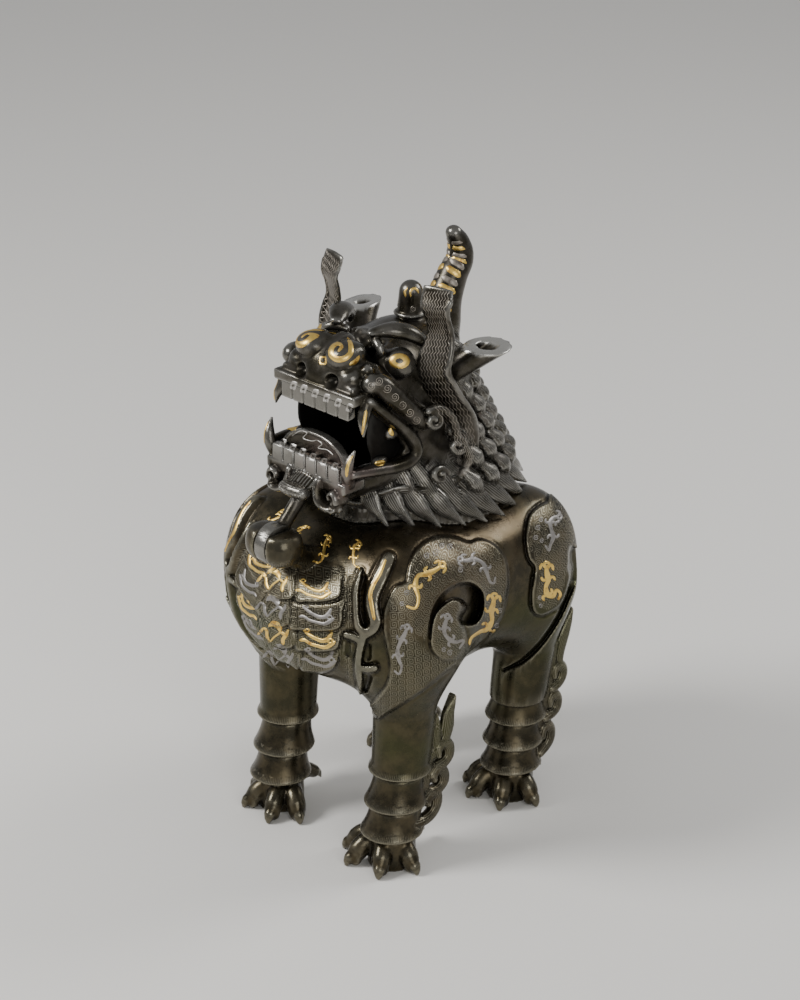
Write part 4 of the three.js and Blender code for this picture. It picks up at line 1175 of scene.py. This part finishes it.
class Inlay:
    def __init__(self, piece):
        places = places_of(piece)
        faces = [tuple(p.vertices) for p in piece.data.polygons]
        self.tree = BVHTree.FromPolygons([tuple(p) for p in places], faces)
        self.places, self.faces = [], []

    def over(self, spots, lift):
        """Places over the casting at spots (across, down, share of the lift), or None beside it."""
        row = []
        for px, py, rise in spots:
            place, normal, _, _ = self.tree.ray_cast(Vector(EYE), Vector(sight(px, py)).normalized())
            if place is None:
                row.append(None)
                continue
            normal = np.array(normal)
            row.append(np.array(place) + (normal if normal @ TOWARDS > 0 else -normal) * lift * rise)
        return row

    def strip(self, points, halves, lift=0.3, mirrored=True):
        length = length_of(points)
        count = max(int(length / 1.1), 4)
        line, wide = through(points, count), spread(halves, count)
        way = np.gradient(line, axis=0)
        way /= np.linalg.norm(way, axis=1)[:, None] + 1e-9
        ends = np.minimum(np.arange(count), np.arange(count)[::-1]) * length / count
        wide = wide * np.sqrt(np.clip(ends / np.maximum(wide, 0.3), 0.06, 1))
        rows = []
        for (cx, cy), (wx, wy), half in zip(line, way, wide):
            spots = [(cx - wy * half * t, cy + wx * half * t, rise) for t, rise in STRIP_SECTION]
            rows.append(self.over(spots, lift))
        self.weave(rows, mirrored)

    def weave(self, rows, mirrored):
        """Joins rows of places by faces, except where the surface breaks off."""
        for sign in (1, -1) if mirrored else (1,):
            start = len(self.places)
            width = len(rows[0])
            for row in rows:
                self.places += [(0, 0, 0) if p is None else (p[0] * sign, p[1], p[2]) for p in row]
            for i in range(len(rows) - 1):
                for j in range(width - 1):
                    corners = [rows[i][j], rows[i][j + 1], rows[i + 1][j + 1], rows[i + 1][j]]
                    if any(c is None for c in corners) or max(np.ptp(np.array(corners), axis=0)) > GAP:
                        continue
                    first = start + i * width + j
                    face = [first, first + 1, first + width + 1, first + width]
                    self.faces.append(face if sign > 0 else face[::-1])

    def disc(self, px, py, rx, ry=None, mirrored=True, hole=0.0, turn=0.0, square=False):
        """A round, oval or oblong plate, or one with a hole of some share of its size."""
        ry = ry or rx
        c, s = math.cos(turn), math.sin(turn)
        rows = []
        for t in np.linspace(0, FULL_TURN, 21):
            stretch = 1 / max(abs(math.cos(t)), abs(math.sin(t))) ** 0.85 if square else 1
            spots = []
            for r in (1, 0.86, 0.5 + 0.5 * hole, max(hole, 0.02)):
                dx, dy = rx * r * stretch * math.cos(t), ry * r * stretch * math.sin(t)
                rise = -0.25 if r == 1 or (hole and r == hole) else 1
                spots.append((px + dx * c - dy * s, py + dx * s + dy * c, rise))
            rows.append(self.over(spots, DISC_LIFT))
        self.weave(rows, mirrored)

    def dragon(self, spine, half):
        """A small dragon: a round head, a winding body, legs and a tail."""
        line = through(spine, 40)
        self.disc(*line[2], half * 1.7, hole=0.25)
        self.strip(line[3:], [half * v for v in DRAGON_BODY])
        for place, turn, lean in DRAGON_LEGS:
            way = line[place + 1] - line[place - 1]
            way /= np.linalg.norm(way) + 1e-9
            out = np.array((-way[1], way[0])) * turn
            knee = line[place] + out * half * 2 + way * half * lean * 0.5
            foot = knee + out * half * 0.7 - way * half * lean * 1.5
            self.strip([line[place], knee, foot], [half * 0.7, half * 0.65, half * 0.6])

    def build(self, name, body, material):
        used = sorted({i for face in self.faces for i in face})
        order = {old: new for new, old in enumerate(used)}
        faces = [[order[i] for i in face] for face in self.faces]
        place_piece(new_mesh(name, [self.places[i] for i in used], faces), body, None, material)


# Dragons on the near side, from head to tail, in picture pixels
GOLD_DRAGONS = (
    ((445, 562), (437, 569), (427, 574), (418, 576), (415.5, 586), (418.5, 598), (415.5, 608),
     (406, 606)),
    ((494.8, 593), (493.5, 603), (491.5, 611), (492, 621), (487, 629), (480, 632), (471.5, 638),
     (469.5, 645)),
    ((547, 562), (546.7, 571), (548.2, 580), (546, 587), (547.5, 594.5), (553.5, 596), (556.5, 590),
     (560.5, 594), (558, 600)),
)
SILVER_DRAGONS = (
    ((457.6, 558), (466, 560.6), (474.5, 559), (483, 563.4), (487, 573), (490, 581.6), (494, 583),
     (495.5, 576.5)),
    ((448.5, 614), (445.7, 622), (444.3, 632), (449, 639), (456, 642), (464, 640.5), (459, 649)),
    ((408, 624), (405, 633.5), (400, 643), (397.5, 651.5), (399, 660), (401.6, 667), (399, 674),
     (394, 670.5)),
    ((562, 517), (555, 517), (550.4, 523), (552, 531.6), (553.3, 537.5), (550.4, 545), (549, 550.6),
     (545.3, 545)),
)


# The chest: beasts on the middle plates, winding dragons on the side ones, as strokes in picture pixels
BEAST = (
    (((256.8, 581.6), (260, 578), (262.3, 574.6)), (1.3, 1.2, 0.9)),
    (((262.3, 574.6), (265.5, 577.5), (266, 583.5), (268.6, 589.5)), (0.8, 1.2, 1.3, 0.9)),
    (((268.6, 589.5), (272.7, 584.5), (277.4, 581), (280.4, 578.3)), (0.6, 0.8, 0.8, 1)),
    (((267.6, 573.4), (271, 570.8), (274.4, 571), (278, 574), (279.4, 579)), (1.1, 2.2, 2.5, 2.2, 1.4)),
    (((279.4, 578.6), (282.4, 581), (284.4, 582.4)), (1.2, 1.3, 1.2)),
    (((287.4, 576.4), (285.3, 581.5), (282, 586.5), (282.3, 592)), (0.8, 1.5, 1.6, 1.3)),
)
WINDING = (
    (((299.4, 579.9), (303.8, 583.6), (310.4, 588), (318.4, 590.9), (324.3, 588.7), (328.3, 581.8)),
     (0.9, 1.4, 1.5, 1.7, 2, 1.1)),
    (((295.7, 590.2), (300.8, 590.2), (306.7, 593.9), (314, 596.1), (321.4, 597.5), (327.2, 594.6),
      (331.6, 591.7)), (1.4, 1.2, 1.3, 1.3, 1.5, 1.9, 1.3)),
)
WINDING_RINGS = ((303.2, 580.4, 2.9, 2.1), (326.6, 591, 3.4, 3))
CHEST_DRAGONS = (
    ((331, 537), (327.5, 539), (325, 546), (323.7, 552), (322.5, 558), (318.5, 562.5), (312.5, 561)),
    ((361, 543.5), (355.5, 545), (353.5, 552), (353.7, 560), (354.5, 565), (360, 568)),
)
# Where square and round spirals are engraved, in picture pixels
FRET_GROUND = (
    ((252, 565), (294, 562), (340, 568), (358, 572), (352, 590), (352, 625), (341, 640), (337, 668),
     (300, 671), (262, 655), (250, 612)),
    ((390, 600), (404, 612), (414, 636), (432, 655), (462, 663), (440, 674), (412, 695), (376, 716),
     (366, 705), (388, 684), (391, 655)),
    ((343, 655), (352, 662), (356, 700), (364, 706), (350, 690)),
)
CLOUD_GROUND = (
    ((412, 562), (418, 551), (428, 543), (442, 539), (458, 541), (469, 545), (479, 542), (489, 545),
     (498, 552), (503, 562), (505, 578), (504, 594), (500, 612), (490, 628), (486, 620), (485, 600),
     (480, 587), (466, 580), (450, 584), (438, 594), (430, 612), (428, 636), (412, 630), (404, 612),
     (392, 596), (397, 588), (409, 583)),
    LOBE_EDGE,
    ((534, 515), (548, 506), (560, 500), (570, 510), (576, 530), (570, 552), (566, 575), (558, 602),
     (545, 610), (538, 608), (536, 594), (539, 570), (530, 545)),
)
BEAST_SHIFTS = ((0, 0), (-1.5, 27.5), (1, 53), (6, 76))
WINDING_SHIFTS = ((0, 0), (3, 26.4), (3.8, 50), (5, 69))
BEAST_WEIGHT, WINDING_WEIGHT = 1.3, 1.2  # by which their strokes are laid wider than drawn
CORD_BAR = ((385.5, 559.2), (380.6, 571.8), (373.6, 584.4), (370.1, 594.2), (371.5, 605.4), (374.3, 620.1))
CLOUDS = (
    (427, 556, 3.4), (436, 553, 3.6), (450, 547, 3.4), (442, 546, 3), (461, 570, 3.2), (500, 611, 3),
    (497, 626, 2.8), (450, 653, 3.2), (444, 650, 2.6), (407, 593, 3), (402, 604, 2.6), (538, 528, 3),
    (541, 520, 2.6), (536, 538, 2.8), (542, 541, 2.4), (540, 598, 2.4), (541, 606, 2.2),
)


def shifted(points, shift):
    return [(x + shift[0], y + shift[1]) for x, y in points]


def body_inlays(body):
    gold, silver = Inlay(body), Inlay(body)
    for spine in GOLD_DRAGONS:
        gold.dragon(spine, 2.5)
    for spine in SILVER_DRAGONS:
        silver.dragon(spine, 2.2)
    for spine in CHEST_DRAGONS:
        gold.dragon(spine, 1.7)
    for row in range(4):
        metal = silver if row % 2 else gold
        for stroke, halves in BEAST:
            wide = [BEAST_WEIGHT * half for half in halves]
            metal.strip(shifted(stroke, BEAST_SHIFTS[row]), wide, mirrored=False)
        for stroke, halves in WINDING:
            wide = [WINDING_WEIGHT * half for half in halves]
            metal.strip(shifted(stroke, WINDING_SHIFTS[row]), wide)
        across, down = WINDING_SHIFTS[row]
        for x, y, rx, ry in WINDING_RINGS:
            metal.disc(x + across, y + down, rx, ry, hole=0.36)
    gold.strip(CORD_BAR, [1.6, 2, 2.2, 2.2, 2, 1.6])
    for x, y, size in CLOUDS:
        silver.strip(spiral(x, y, size, 30, 1.6, 1, 0.15, 16), [0.45], lift=0.2)
    gold.build("gold_on_body", "vessel", METALS["gold"])
    silver.build("silver_on_body", "vessel", METALS["silver"])


NOSE_SCROLL = (
    (338, 351.5), (341.8, 346.5), (338, 343.6), (332.3, 347.2), (331, 354), (336.7, 359), (344.3, 358.5),
    (350.5, 353), (350.5, 344), (347.5, 337.6),
)
UPPER_TEETH = ((293.7, 385.5), (303.8, 389), (315.2, 393.4), (326.6, 398.2), (338, 403), (349.6, 408))
LOWER_TEETH = ((283, 443), (292.6, 448), (302.5, 452.5), (312.8, 457.5), (323.7, 462.4), (334.8, 467))
BUD_SCROLL = ((410.6, 297), (410.4, 292), (413, 288.6), (416.8, 289.4), (418.6, 293.4))
RIBBON_WIRES = 9
WAVE_LENGTH, WAVE_SIZE = 6.6, 0.9  # of the wires on the ribbon, in pixels
# Spirals of wire along the roll over the mouth, and curves of it between the upper and the lower teeth
ROLL_SPIRALS = (
    (371, 386), (379, 381), (387.5, 388.5), (395, 397), (402.5, 405), (410, 412.5), (416.5, 420),
)
TONGUE_CURVES = (
    ((292, 436), (300, 431), (307, 433), (303, 438), (311, 441), (317, 440)),
    ((317, 440), (322, 444), (318, 448), (327, 450), (333, 455)),
)
HORN_PLATES = 12
PLATE_LENGTH = 5.4
FIRST_DEGREE, LAST_DEGREE = 7, 72  # between which a plate lies on the horn, from its front to its side
PLATE_SECTION = ((-1, -0.3), (-0.75, 0.25), (0, 0.45), (0.75, 0.25), (1, -0.3))


def ribbon_wires(metal):
    """Wavy wires side by side down the ribbon."""
    down = np.arange(RIBBON_SHOWN[0][0] + 2, RIBBON_SHOWN[-1][0] - 5, 1.2)
    heights, lefts, rights = np.array(RIBBON_SHOWN).T
    left, right = np.interp(down, heights, lefts), np.interp(down, heights, rights)
    wave = WAVE_SIZE * np.sin(down * FULL_TURN / WAVE_LENGTH)
    for share in np.linspace(0.06, 0.86, RIBBON_WIRES):
        x = left + (right - left) * share + wave
        metal.strip(np.stack([x, down], axis=1), [0.32], lift=0.1)


def head_inlays(head):
    gold, wires, plates = Inlay(head), Inlay(head), Inlay(head)
    gold.strip(NOSE_SCROLL, [1.5, 1.8, 2.3, 3, 3.4, 3.4, 3.2, 3, 2.6, 1.4])
    gold.strip([(349.4, 364.8), (355.7, 361.5), (359.5, 355.6)], [2, 2.8, 1.2])
    gold.disc(322.8, 360.4, 3.8, 4.6, hole=0.5, square=True, mirrored=False)
    gold.disc(399.4, 361, 11, 8.2, hole=0.16)
    for x, y in UPPER_TEETH + LOWER_TEETH:
        plates.disc(x, y, 3.3, 4.4, hole=0.26, square=True, mirrored=False, turn=0.32)
    ribbon_wires(wires)
    gold.strip([(366.3, 410), (364.8, 419), (363.4, 427), (362.2, 435)], [1.4, 1.9, 1.6, 0.8])
    gold.strip([(346.5, 477), (347.2, 468), (349.5, 461), (353, 455.5)], [1.4, 1.9, 1.6, 0.8])
    gold.disc(*MOLARS[0], 2.6, 4.6, turn=-0.5)
    gold.disc(*MOLARS[1], 5.6, 3, turn=-0.2)
    for x, y in ROLL_SPIRALS:
        wires.strip(spiral(x, y, 4.6, 200, 2, 1, 0.1, 20), [0.36], lift=0.12)
    gold.strip([(405.5, 297), (404.8, 291.5), (407.6, 288)], [1.1, 1.3, 0.9], mirrored=False)
    gold.strip(BUD_SCROLL, [0.8, 1.2, 1.4, 1.3, 0.8], mirrored=False)
    wires.strip(spiral(413.5, 309, 3, 90, 1.5, 1, 0.2, 14), [0.5])
    for curve in TONGUE_CURVES:
        plates.strip(curve, [0.5], lift=0.2, mirrored=False)
    for i, share in enumerate(np.linspace(0.2, 0.95, HORN_PLATES)):
        horn_plate(wires if i % 2 else gold, share)
    gold.build("gold_on_head", "head", METALS["gold"])
    wires.build("wires_on_head", "head", METALS["wire"])
    plates.build("plates_on_teeth", "head", METALS["plate"])


def horn_plate(metal, share):
    """A pair of plates side by side on the front of the horn."""
    line = through(HORN, 200)
    wide, deep = spread(HORN_WIDTHS, 200), spread(HORN_DEPTHS, 200)
    middle = int(share * 199)
    along = line[middle + 1] - line[middle - 1]
    along = along / np.linalg.norm(along)
    front = np.cross((1, 0, 0), along)
    rows = []
    for degrees in np.linspace(FIRST_DEGREE, LAST_DEGREE, 9):
        angle = math.radians(degrees)
        share_round = (degrees - FIRST_DEGREE) / (LAST_DEGREE - FIRST_DEGREE)
        size = min(1, math.sin(share_round * math.pi) * 1.6 + 0.35)
        row = []
        for t, rise in PLATE_SECTION:
            sideward = (math.sin(angle) * (wide[middle] + rise), 0, 0)
            out = sideward + front * math.cos(angle) * (deep[middle] + rise)
            row.append(line[middle] + out + along * (t * size * PLATE_LENGTH / 2 - 1.6 * math.sin(angle)))
        rows.append(row)
    metal.weave(rows, True)


# Materials

class Look:
    """A material's nodes."""

    def __init__(self, name):
        self.material = bpy.data.materials.new(name)
        self.material.use_nodes = True
        self.tree = self.material.node_tree
        self.shader = self.tree.nodes["Principled BSDF"]

    def node(self, kind, inputs=(), **settings):
        node = self.tree.nodes.new(kind)
        for key, value in settings.items():
            setattr(node, key, value)
        for socket, value in dict(inputs).items():
            self.feed(node.inputs[socket], value)
        return node

    def feed(self, socket, value):
        if isinstance(value, bpy.types.NodeSocket):
            self.tree.links.new(value, socket)
        else:
            socket.default_value = value

    def noise(self, scale, detail=3.0, roughness=0.55):
        place = self.node("ShaderNodeTexCoord").outputs["Object"]
        inputs = {"Vector": place, "Scale": scale, "Detail": detail, "Roughness": roughness}
        return self.node("ShaderNodeTexNoise", inputs).outputs["Fac"]

    def attribute(self, name, vector=False):
        return self.node("ShaderNodeAttribute", attribute_name=name).outputs["Vector" if vector else "Fac"]

    def math(self, operation, *values):
        node = self.node("ShaderNodeMath", operation=operation)
        for socket, value in zip(node.inputs, values):
            self.feed(socket, value)
        return node.outputs[0]

    def plus(self, a, b):
        return self.math("ADD", a, b)

    def minus(self, a, b):
        return self.math("SUBTRACT", a, b)

    def times(self, a, b):
        return self.math("MULTIPLY", a, b)

    def ramp(self, value, low, high, first=0.0, last=1.0):
        node = self.node("ShaderNodeMapRange", interpolation_type="SMOOTHSTEP")
        for socket, v in zip(node.inputs, (value, low, high, first, last)):
            self.feed(socket, v)
        return node.outputs[0]

    def mix(self, share, first, second):
        node = self.node("ShaderNodeMix", data_type="RGBA")
        self.feed(node.inputs[0], share)
        self.feed(node.inputs[6], first)
        self.feed(node.inputs[7], second)
        return node.outputs[2]

    def bump(self, height, distance, strength=1.0, normal=None):
        inputs = {"Height": height, "Distance": distance, "Strength": strength}
        if normal is not None:
            inputs["Normal"] = normal
        return self.node("ShaderNodeBump", inputs).outputs[0]


HATCH_PITCH = 1.25  # millimetres between engraved lines
CELL = 5.6  # size of one spiral of the engraved ground
CELL_PITCH = 1.3


def in_cell(look, place):
    """Places along one way, counted from the middle of each cell of the engraved ground."""
    share = look.math("FRACT", look.math("DIVIDE", place, CELL))
    return look.times(look.minus(share, 0.5), CELL)


def engraved_ground(look):
    """Square spirals side by side where the mark ground is 1, and round ones where it is 2."""
    place = look.node("ShaderNodeSeparateXYZ", {0: look.attribute("ground", vector=True)})
    u, v = in_cell(look, place.outputs[0]), in_cell(look, place.outputs[1])
    kind = place.outputs[2]
    square = look.math("MAXIMUM", look.math("ABSOLUTE", u), look.math("ABSOLUTE", v))
    circle = look.math("SQRT", look.plus(look.times(u, u), look.times(v, v)))
    is_round = look.math("GREATER_THAN", kind, 1.5)
    reach = look.plus(look.times(circle, is_round), look.times(square, look.minus(1.0, is_round)))
    turn = look.times(look.math("ARCTAN2", v, u), 1 / FULL_TURN)
    wave = look.math("SINE", look.times(look.plus(look.math("DIVIDE", reach, CELL_PITCH), turn), FULL_TURN))
    return look.times(look.ramp(wave, 0.1, 0.75), look.math("MINIMUM", kind, 1.0))


# Painted colours: a near-black for hollows, partly dirt and partly painted shade, and a black for painted
# shade inside the mouth and head
HOLLOW_DIRT_AND_SHADE, MOUTH_SHADE = (0.006, 0.005, 0.004, 1), (0.004, 0.0035, 0.003, 1)


def patina(look, mottle, dark, warm, patches):
    """Mottled bronze. Patches: tint, least and most share, middle height, reach and least noise."""
    place = look.node("ShaderNodeTexCoord").outputs["Object"]
    height = look.node("ShaderNodeSeparateXYZ", {0: place}).outputs[2]
    broad = look.noise(11, 4)
    colour = look.mix(look.ramp(mottle, 0.35, 0.7), dark, warm)
    for tint, low, high, centre, reach, noise_low in patches:
        off = look.math("ABSOLUTE", look.minus(height, centre))
        band = look.minus(1.0, look.ramp(off, reach * 0.4, reach))
        share = look.times(band, look.ramp(broad, noise_low, noise_low + 0.2, low, high))
        colour = look.mix(share, colour, tint)
    return colour


def bronze_look(name, dark, warm, pale, rim_colour, patches):
    """Cast bronze: pale on crests and engraved lines, dark in hollows with dirt and painted shade, black
    with painted shade inside the mouth and head.
    """
    look = Look(name)
    mottle, grain = look.noise(75, 6, 0.65), look.noise(900, 3)
    crest, mouth_shade = look.attribute("crest"), look.attribute("mouth_shade")
    lines = look.math("SINE", look.times(look.attribute("hatch"), FULL_TURN / HATCH_PITCH))
    lines = look.times(look.ramp(lines, 0.1, 0.8), look.attribute("hatched"))
    ground = engraved_ground(look)
    colour = patina(look, mottle, dark, warm, patches)
    colour = look.mix(look.ramp(crest, 0.55, 0.85, 0, 0.55), colour, pale)
    # Hollows and the feet of edges darkened, partly dirt and partly painted shade
    colour = look.mix(look.ramp(crest, 0.46, 0.2, 0, 0.8), colour, HOLLOW_DIRT_AND_SHADE)
    colour = look.mix(look.times(lines, 0.55), colour, pale)
    colour = look.mix(look.times(ground, 0.58), colour, pale)
    colour = look.mix(look.attribute("rim"), colour, rim_colour)
    # Painted shade: the inside of the mouth and head painted black
    colour = look.mix(mouth_shade, colour, MOUTH_SHADE)
    look.feed(look.shader.inputs["Base Color"], colour)
    look.shader.inputs["Metallic"].default_value = 0.85
    rough = look.plus(look.ramp(mottle, 0.3, 0.75, 0.23, 0.38), look.ramp(crest, 0.5, 0.8, 0, -0.06))
    look.feed(look.shader.inputs["Roughness"], look.math("MAXIMUM", rough, look.times(mouth_shade, 0.8)))
    normal = None
    for height, distance, strength in (
        (grain, 0.00012, 0.5),
        (mottle, 0.0006, 0.35),
        (lines, 0.00018, 0.7),
        (ground, 0.00018, 0.5),
    ):
        normal = look.bump(height, distance, strength, normal)
    look.feed(look.shader.inputs["Normal"], normal)
    return look.material


def inlay_look(name, colour, worn, rough):
    look = Look(name)
    mottle = look.noise(160, 4, 0.6)
    look.feed(look.shader.inputs["Base Color"], look.mix(look.ramp(mottle, 0.5, 0.72), colour, worn))
    look.shader.inputs["Metallic"].default_value = 1.0
    look.feed(look.shader.inputs["Roughness"], look.ramp(mottle, 0.3, 0.7, rough, rough + 0.16))
    look.feed(look.shader.inputs["Normal"], look.bump(look.noise(500, 3), 0.0002, 0.4))
    return look.material


# Stage

FLOOR = 4000  # millimetres from its middle to its edges
LAMPS_AIM = (0, 0, 0.2)  # metres


def aim(place, at):
    return Vector(np.subtract(at, place)).to_track_quat("-Z", "Y").to_euler()


def add_object(name, data, place, at):
    thing = bpy.data.objects.new(name, data)
    thing.location = place
    thing.rotation_euler = aim(place, at)
    bpy.context.scene.collection.objects.link(thing)
    return thing


def camera():
    data = bpy.data.cameras.new("camera")
    data.sensor_width = SENSOR
    data.lens = FOCAL * SENSOR / PICTURE[1]
    data.clip_end = 20
    bpy.context.scene.camera = add_object("camera", data, (EYE + SHIFT) * MM, (TARGET + SHIFT) * MM)


def lamp(name, place, size, power):
    data = bpy.data.lights.new(name, "AREA")
    data.shape = "DISK"
    data.size = size
    data.energy = power
    add_object(name, data, place, LAMPS_AIM)


def stage():
    corners = [(x * FLOOR, y * FLOOR, GROUND) for x, y in ((-1, -1), (1, -1), (1, 1), (-1, 1))]
    floor = new_mesh("floor", corners, [(0, 1, 2, 3)])
    floor.data.materials.append(plain("floor", (0.75, 0.73, 0.69, 1), 0.8))
    world = bpy.data.worlds.new("studio")
    world.use_nodes = True
    world.node_tree.nodes["Background"].inputs[0].default_value = (0.85, 0.86, 0.88, 1)
    world.node_tree.nodes["Background"].inputs[1].default_value = 0.5
    bpy.context.scene.world = world
    lamp("key", (-0.9, -1.3, 1.5), 0.8, 38)
    lamp("fill", (1.6, -0.9, 0.9), 1.2, 12)
    lamp("rim", (0.6, 1.4, 1.3), 0.8, 14)


def plain(name, colour, roughness):
    material = bpy.data.materials.new(name)
    material.use_nodes = True
    shader = material.node_tree.nodes["Principled BSDF"]
    shader.inputs["Base Color"].default_value = colour
    shader.inputs["Roughness"].default_value = roughness
    return material


def place_piece(piece, body, node, material):
    piece.data.materials.clear()
    piece.data.materials.append(material)
    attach(piece, body)
    if node:
        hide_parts(node)


# Marks of the two castings

def within(place, low, high):
    """1 inside a box, 0 outside it."""
    return np.all([(p > l) & (p < h) for p, l, h in zip(place, low, high)], axis=0)


def mouth_shade_of(place):
    """Painted shade: the inside of the mouth and of the head, painted black."""
    y = place[1]
    inside = head_masses(place) < -3.5
    deep = np.clip((y + 72) / 8, 0, 1) * within(place, (-1, -200, 300), (37.5, 60, 346))
    # The cheek recess behind the lips, painted dark as shade
    recess = within(place, (30, -70, 299), (39, -30, 345))
    return np.clip(inside * (y > -66) + deep * inside + 0.85 * recess, 0, 1)


def on_flank(piece):
    """Where a casting's outside above the legs, or its mirror image, faces the camera: from 0 to 1."""
    normals = vertex_values(piece, "normal")
    normals[:, 0] *= np.sign(places_of(piece)[:, 0])
    facing = np.clip((normals @ TOWARDS - 0.04) / 0.1, 0, 1)
    place = near_side(piece)
    return np.clip(hull(place) + 3, 0, 1) * (place[2] > 120) * facing


def ground_of(piece):
    """Where the engraved ground lies: two coordinates along the surface, and its kind."""
    x, y, z = near_side(piece)
    px, py = in_picture(x, y, z)
    fret, cloud = Relief(), Relief()
    for relief, outlines in ((fret, FRET_GROUND), (cloud, CLOUD_GROUND)):
        for outline in outlines:
            relief.add(relief.area(outline), 1, 3)
    kind = np.where(cloud.at(px, py) > 0.5, 2, np.clip(fret.at(px, py), 0, 1)) * on_flank(piece)
    return np.stack([(x + y) * 0.7071, z, kind], axis=1)


def rim_of(place):
    """The ears' cut faces, and the front teeth, fainter."""
    ears = np.clip(2.2 - np.abs(ear_level(place)), 0, 1) * within(place, (46, 10, 360), (200, 200, 500))
    upper = within(place, (-1, -200, 338), (33, -74, 350))
    lower = within(place, (-1, -200, 295), (33, -84, 307.5))
    return np.maximum(ears, 0.3 * (upper | lower))


def cord_of(piece):
    """The raised cord beside the chest, where it is rubbed pale."""
    return 0.4 * cord_shown().at(*in_picture(*near_side(piece))) * on_flank(piece)


def mark_all(piece, *marks):
    for name, values in zip(("hatch", "hatched", "mouth_shade", "rim", "ground"), marks):
        mark(piece, name, values)
    mark_crests(piece)


def mark_body(piece, clay):
    across, shown = mark_hatching(piece, clay)
    mark_legs(piece, across, shown)
    mark_all(piece, across, shown, np.zeros(len(shown)), cord_of(piece), ground_of(piece))


def mark_head(piece, clay):
    place = near_side(piece)
    across, shown = mark_hatching(piece, clay)
    mark_all(piece, across, shown, mouth_shade_of(place), rim_of(place), np.zeros((len(shown), 3)))


METALS = {  # fresh and worn colour, and least roughness
    "gold": inlay_look("gold_inlay", (0.8, 0.55, 0.15, 1), (0.42, 0.22, 0.05, 1), 0.3),
    "silver": inlay_look("silver_inlay", (0.29, 0.275, 0.26, 1), (0.13, 0.12, 0.11, 1), 0.4),
    "plate": inlay_look("plate_inlay", (0.5, 0.48, 0.45, 1), (0.28, 0.265, 0.24, 1), 0.42),
    "wire": inlay_look("wire_inlay", (0.3, 0.27, 0.23, 1), (0.12, 0.1, 0.085, 1), 0.42),
}
DARK, WARM, PALE = (0.03, 0.026, 0.016, 1), (0.075, 0.06, 0.034, 1), (0.27, 0.25, 0.185, 1)
RUST, OLIVE, GREEN = (0.085, 0.057, 0.029, 1), (0.05, 0.053, 0.021, 1), (0.03, 0.048, 0.037, 1)
body_bronze = bronze_look("body_bronze", DARK, WARM, PALE, (0.26, 0.25, 0.2, 1), (
    (RUST, 0.0, 0.55, 0.25, 0.06, 0.46),
    (OLIVE, 0.2, 0.8, 0.13, 0.075, 0.4),
    (GREEN, 0.0, 0.5, 0.2, 0.05, 0.56),
))
GREY_WARM, GREY_PALE, GREY_RIM = (0.075, 0.067, 0.056, 1), (0.34, 0.33, 0.3, 1), (0.42, 0.41, 0.38, 1)
head_bronze = bronze_look("head_bronze", DARK, GREY_WARM, GREY_PALE, GREY_RIM, (
    ((0.16, 0.12, 0.11, 1), 0.0, 0.7, 0.3, 0.03, 0.5),
    (GREEN, 0.0, 0.4, 0.29, 0.04, 0.6),
))
body_shape, head_shape = body_clay(), head_clay()
body, head = cast("burner_body_cast", body_shape), cast("head_lid_cast", head_shape)
squeeze(body)
mark_body(body, body_shape)
mark_head(head, head_shape)
place_piece(body, "vessel", "burner_body", body_bronze)
place_piece(head, "head", "head_lid", head_bronze)
body_inlays(body)
head_inlays(head)
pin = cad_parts["hinge_pin"]
pin.data.materials.clear()
pin.data.materials.append(body_bronze)
camera()
stage()
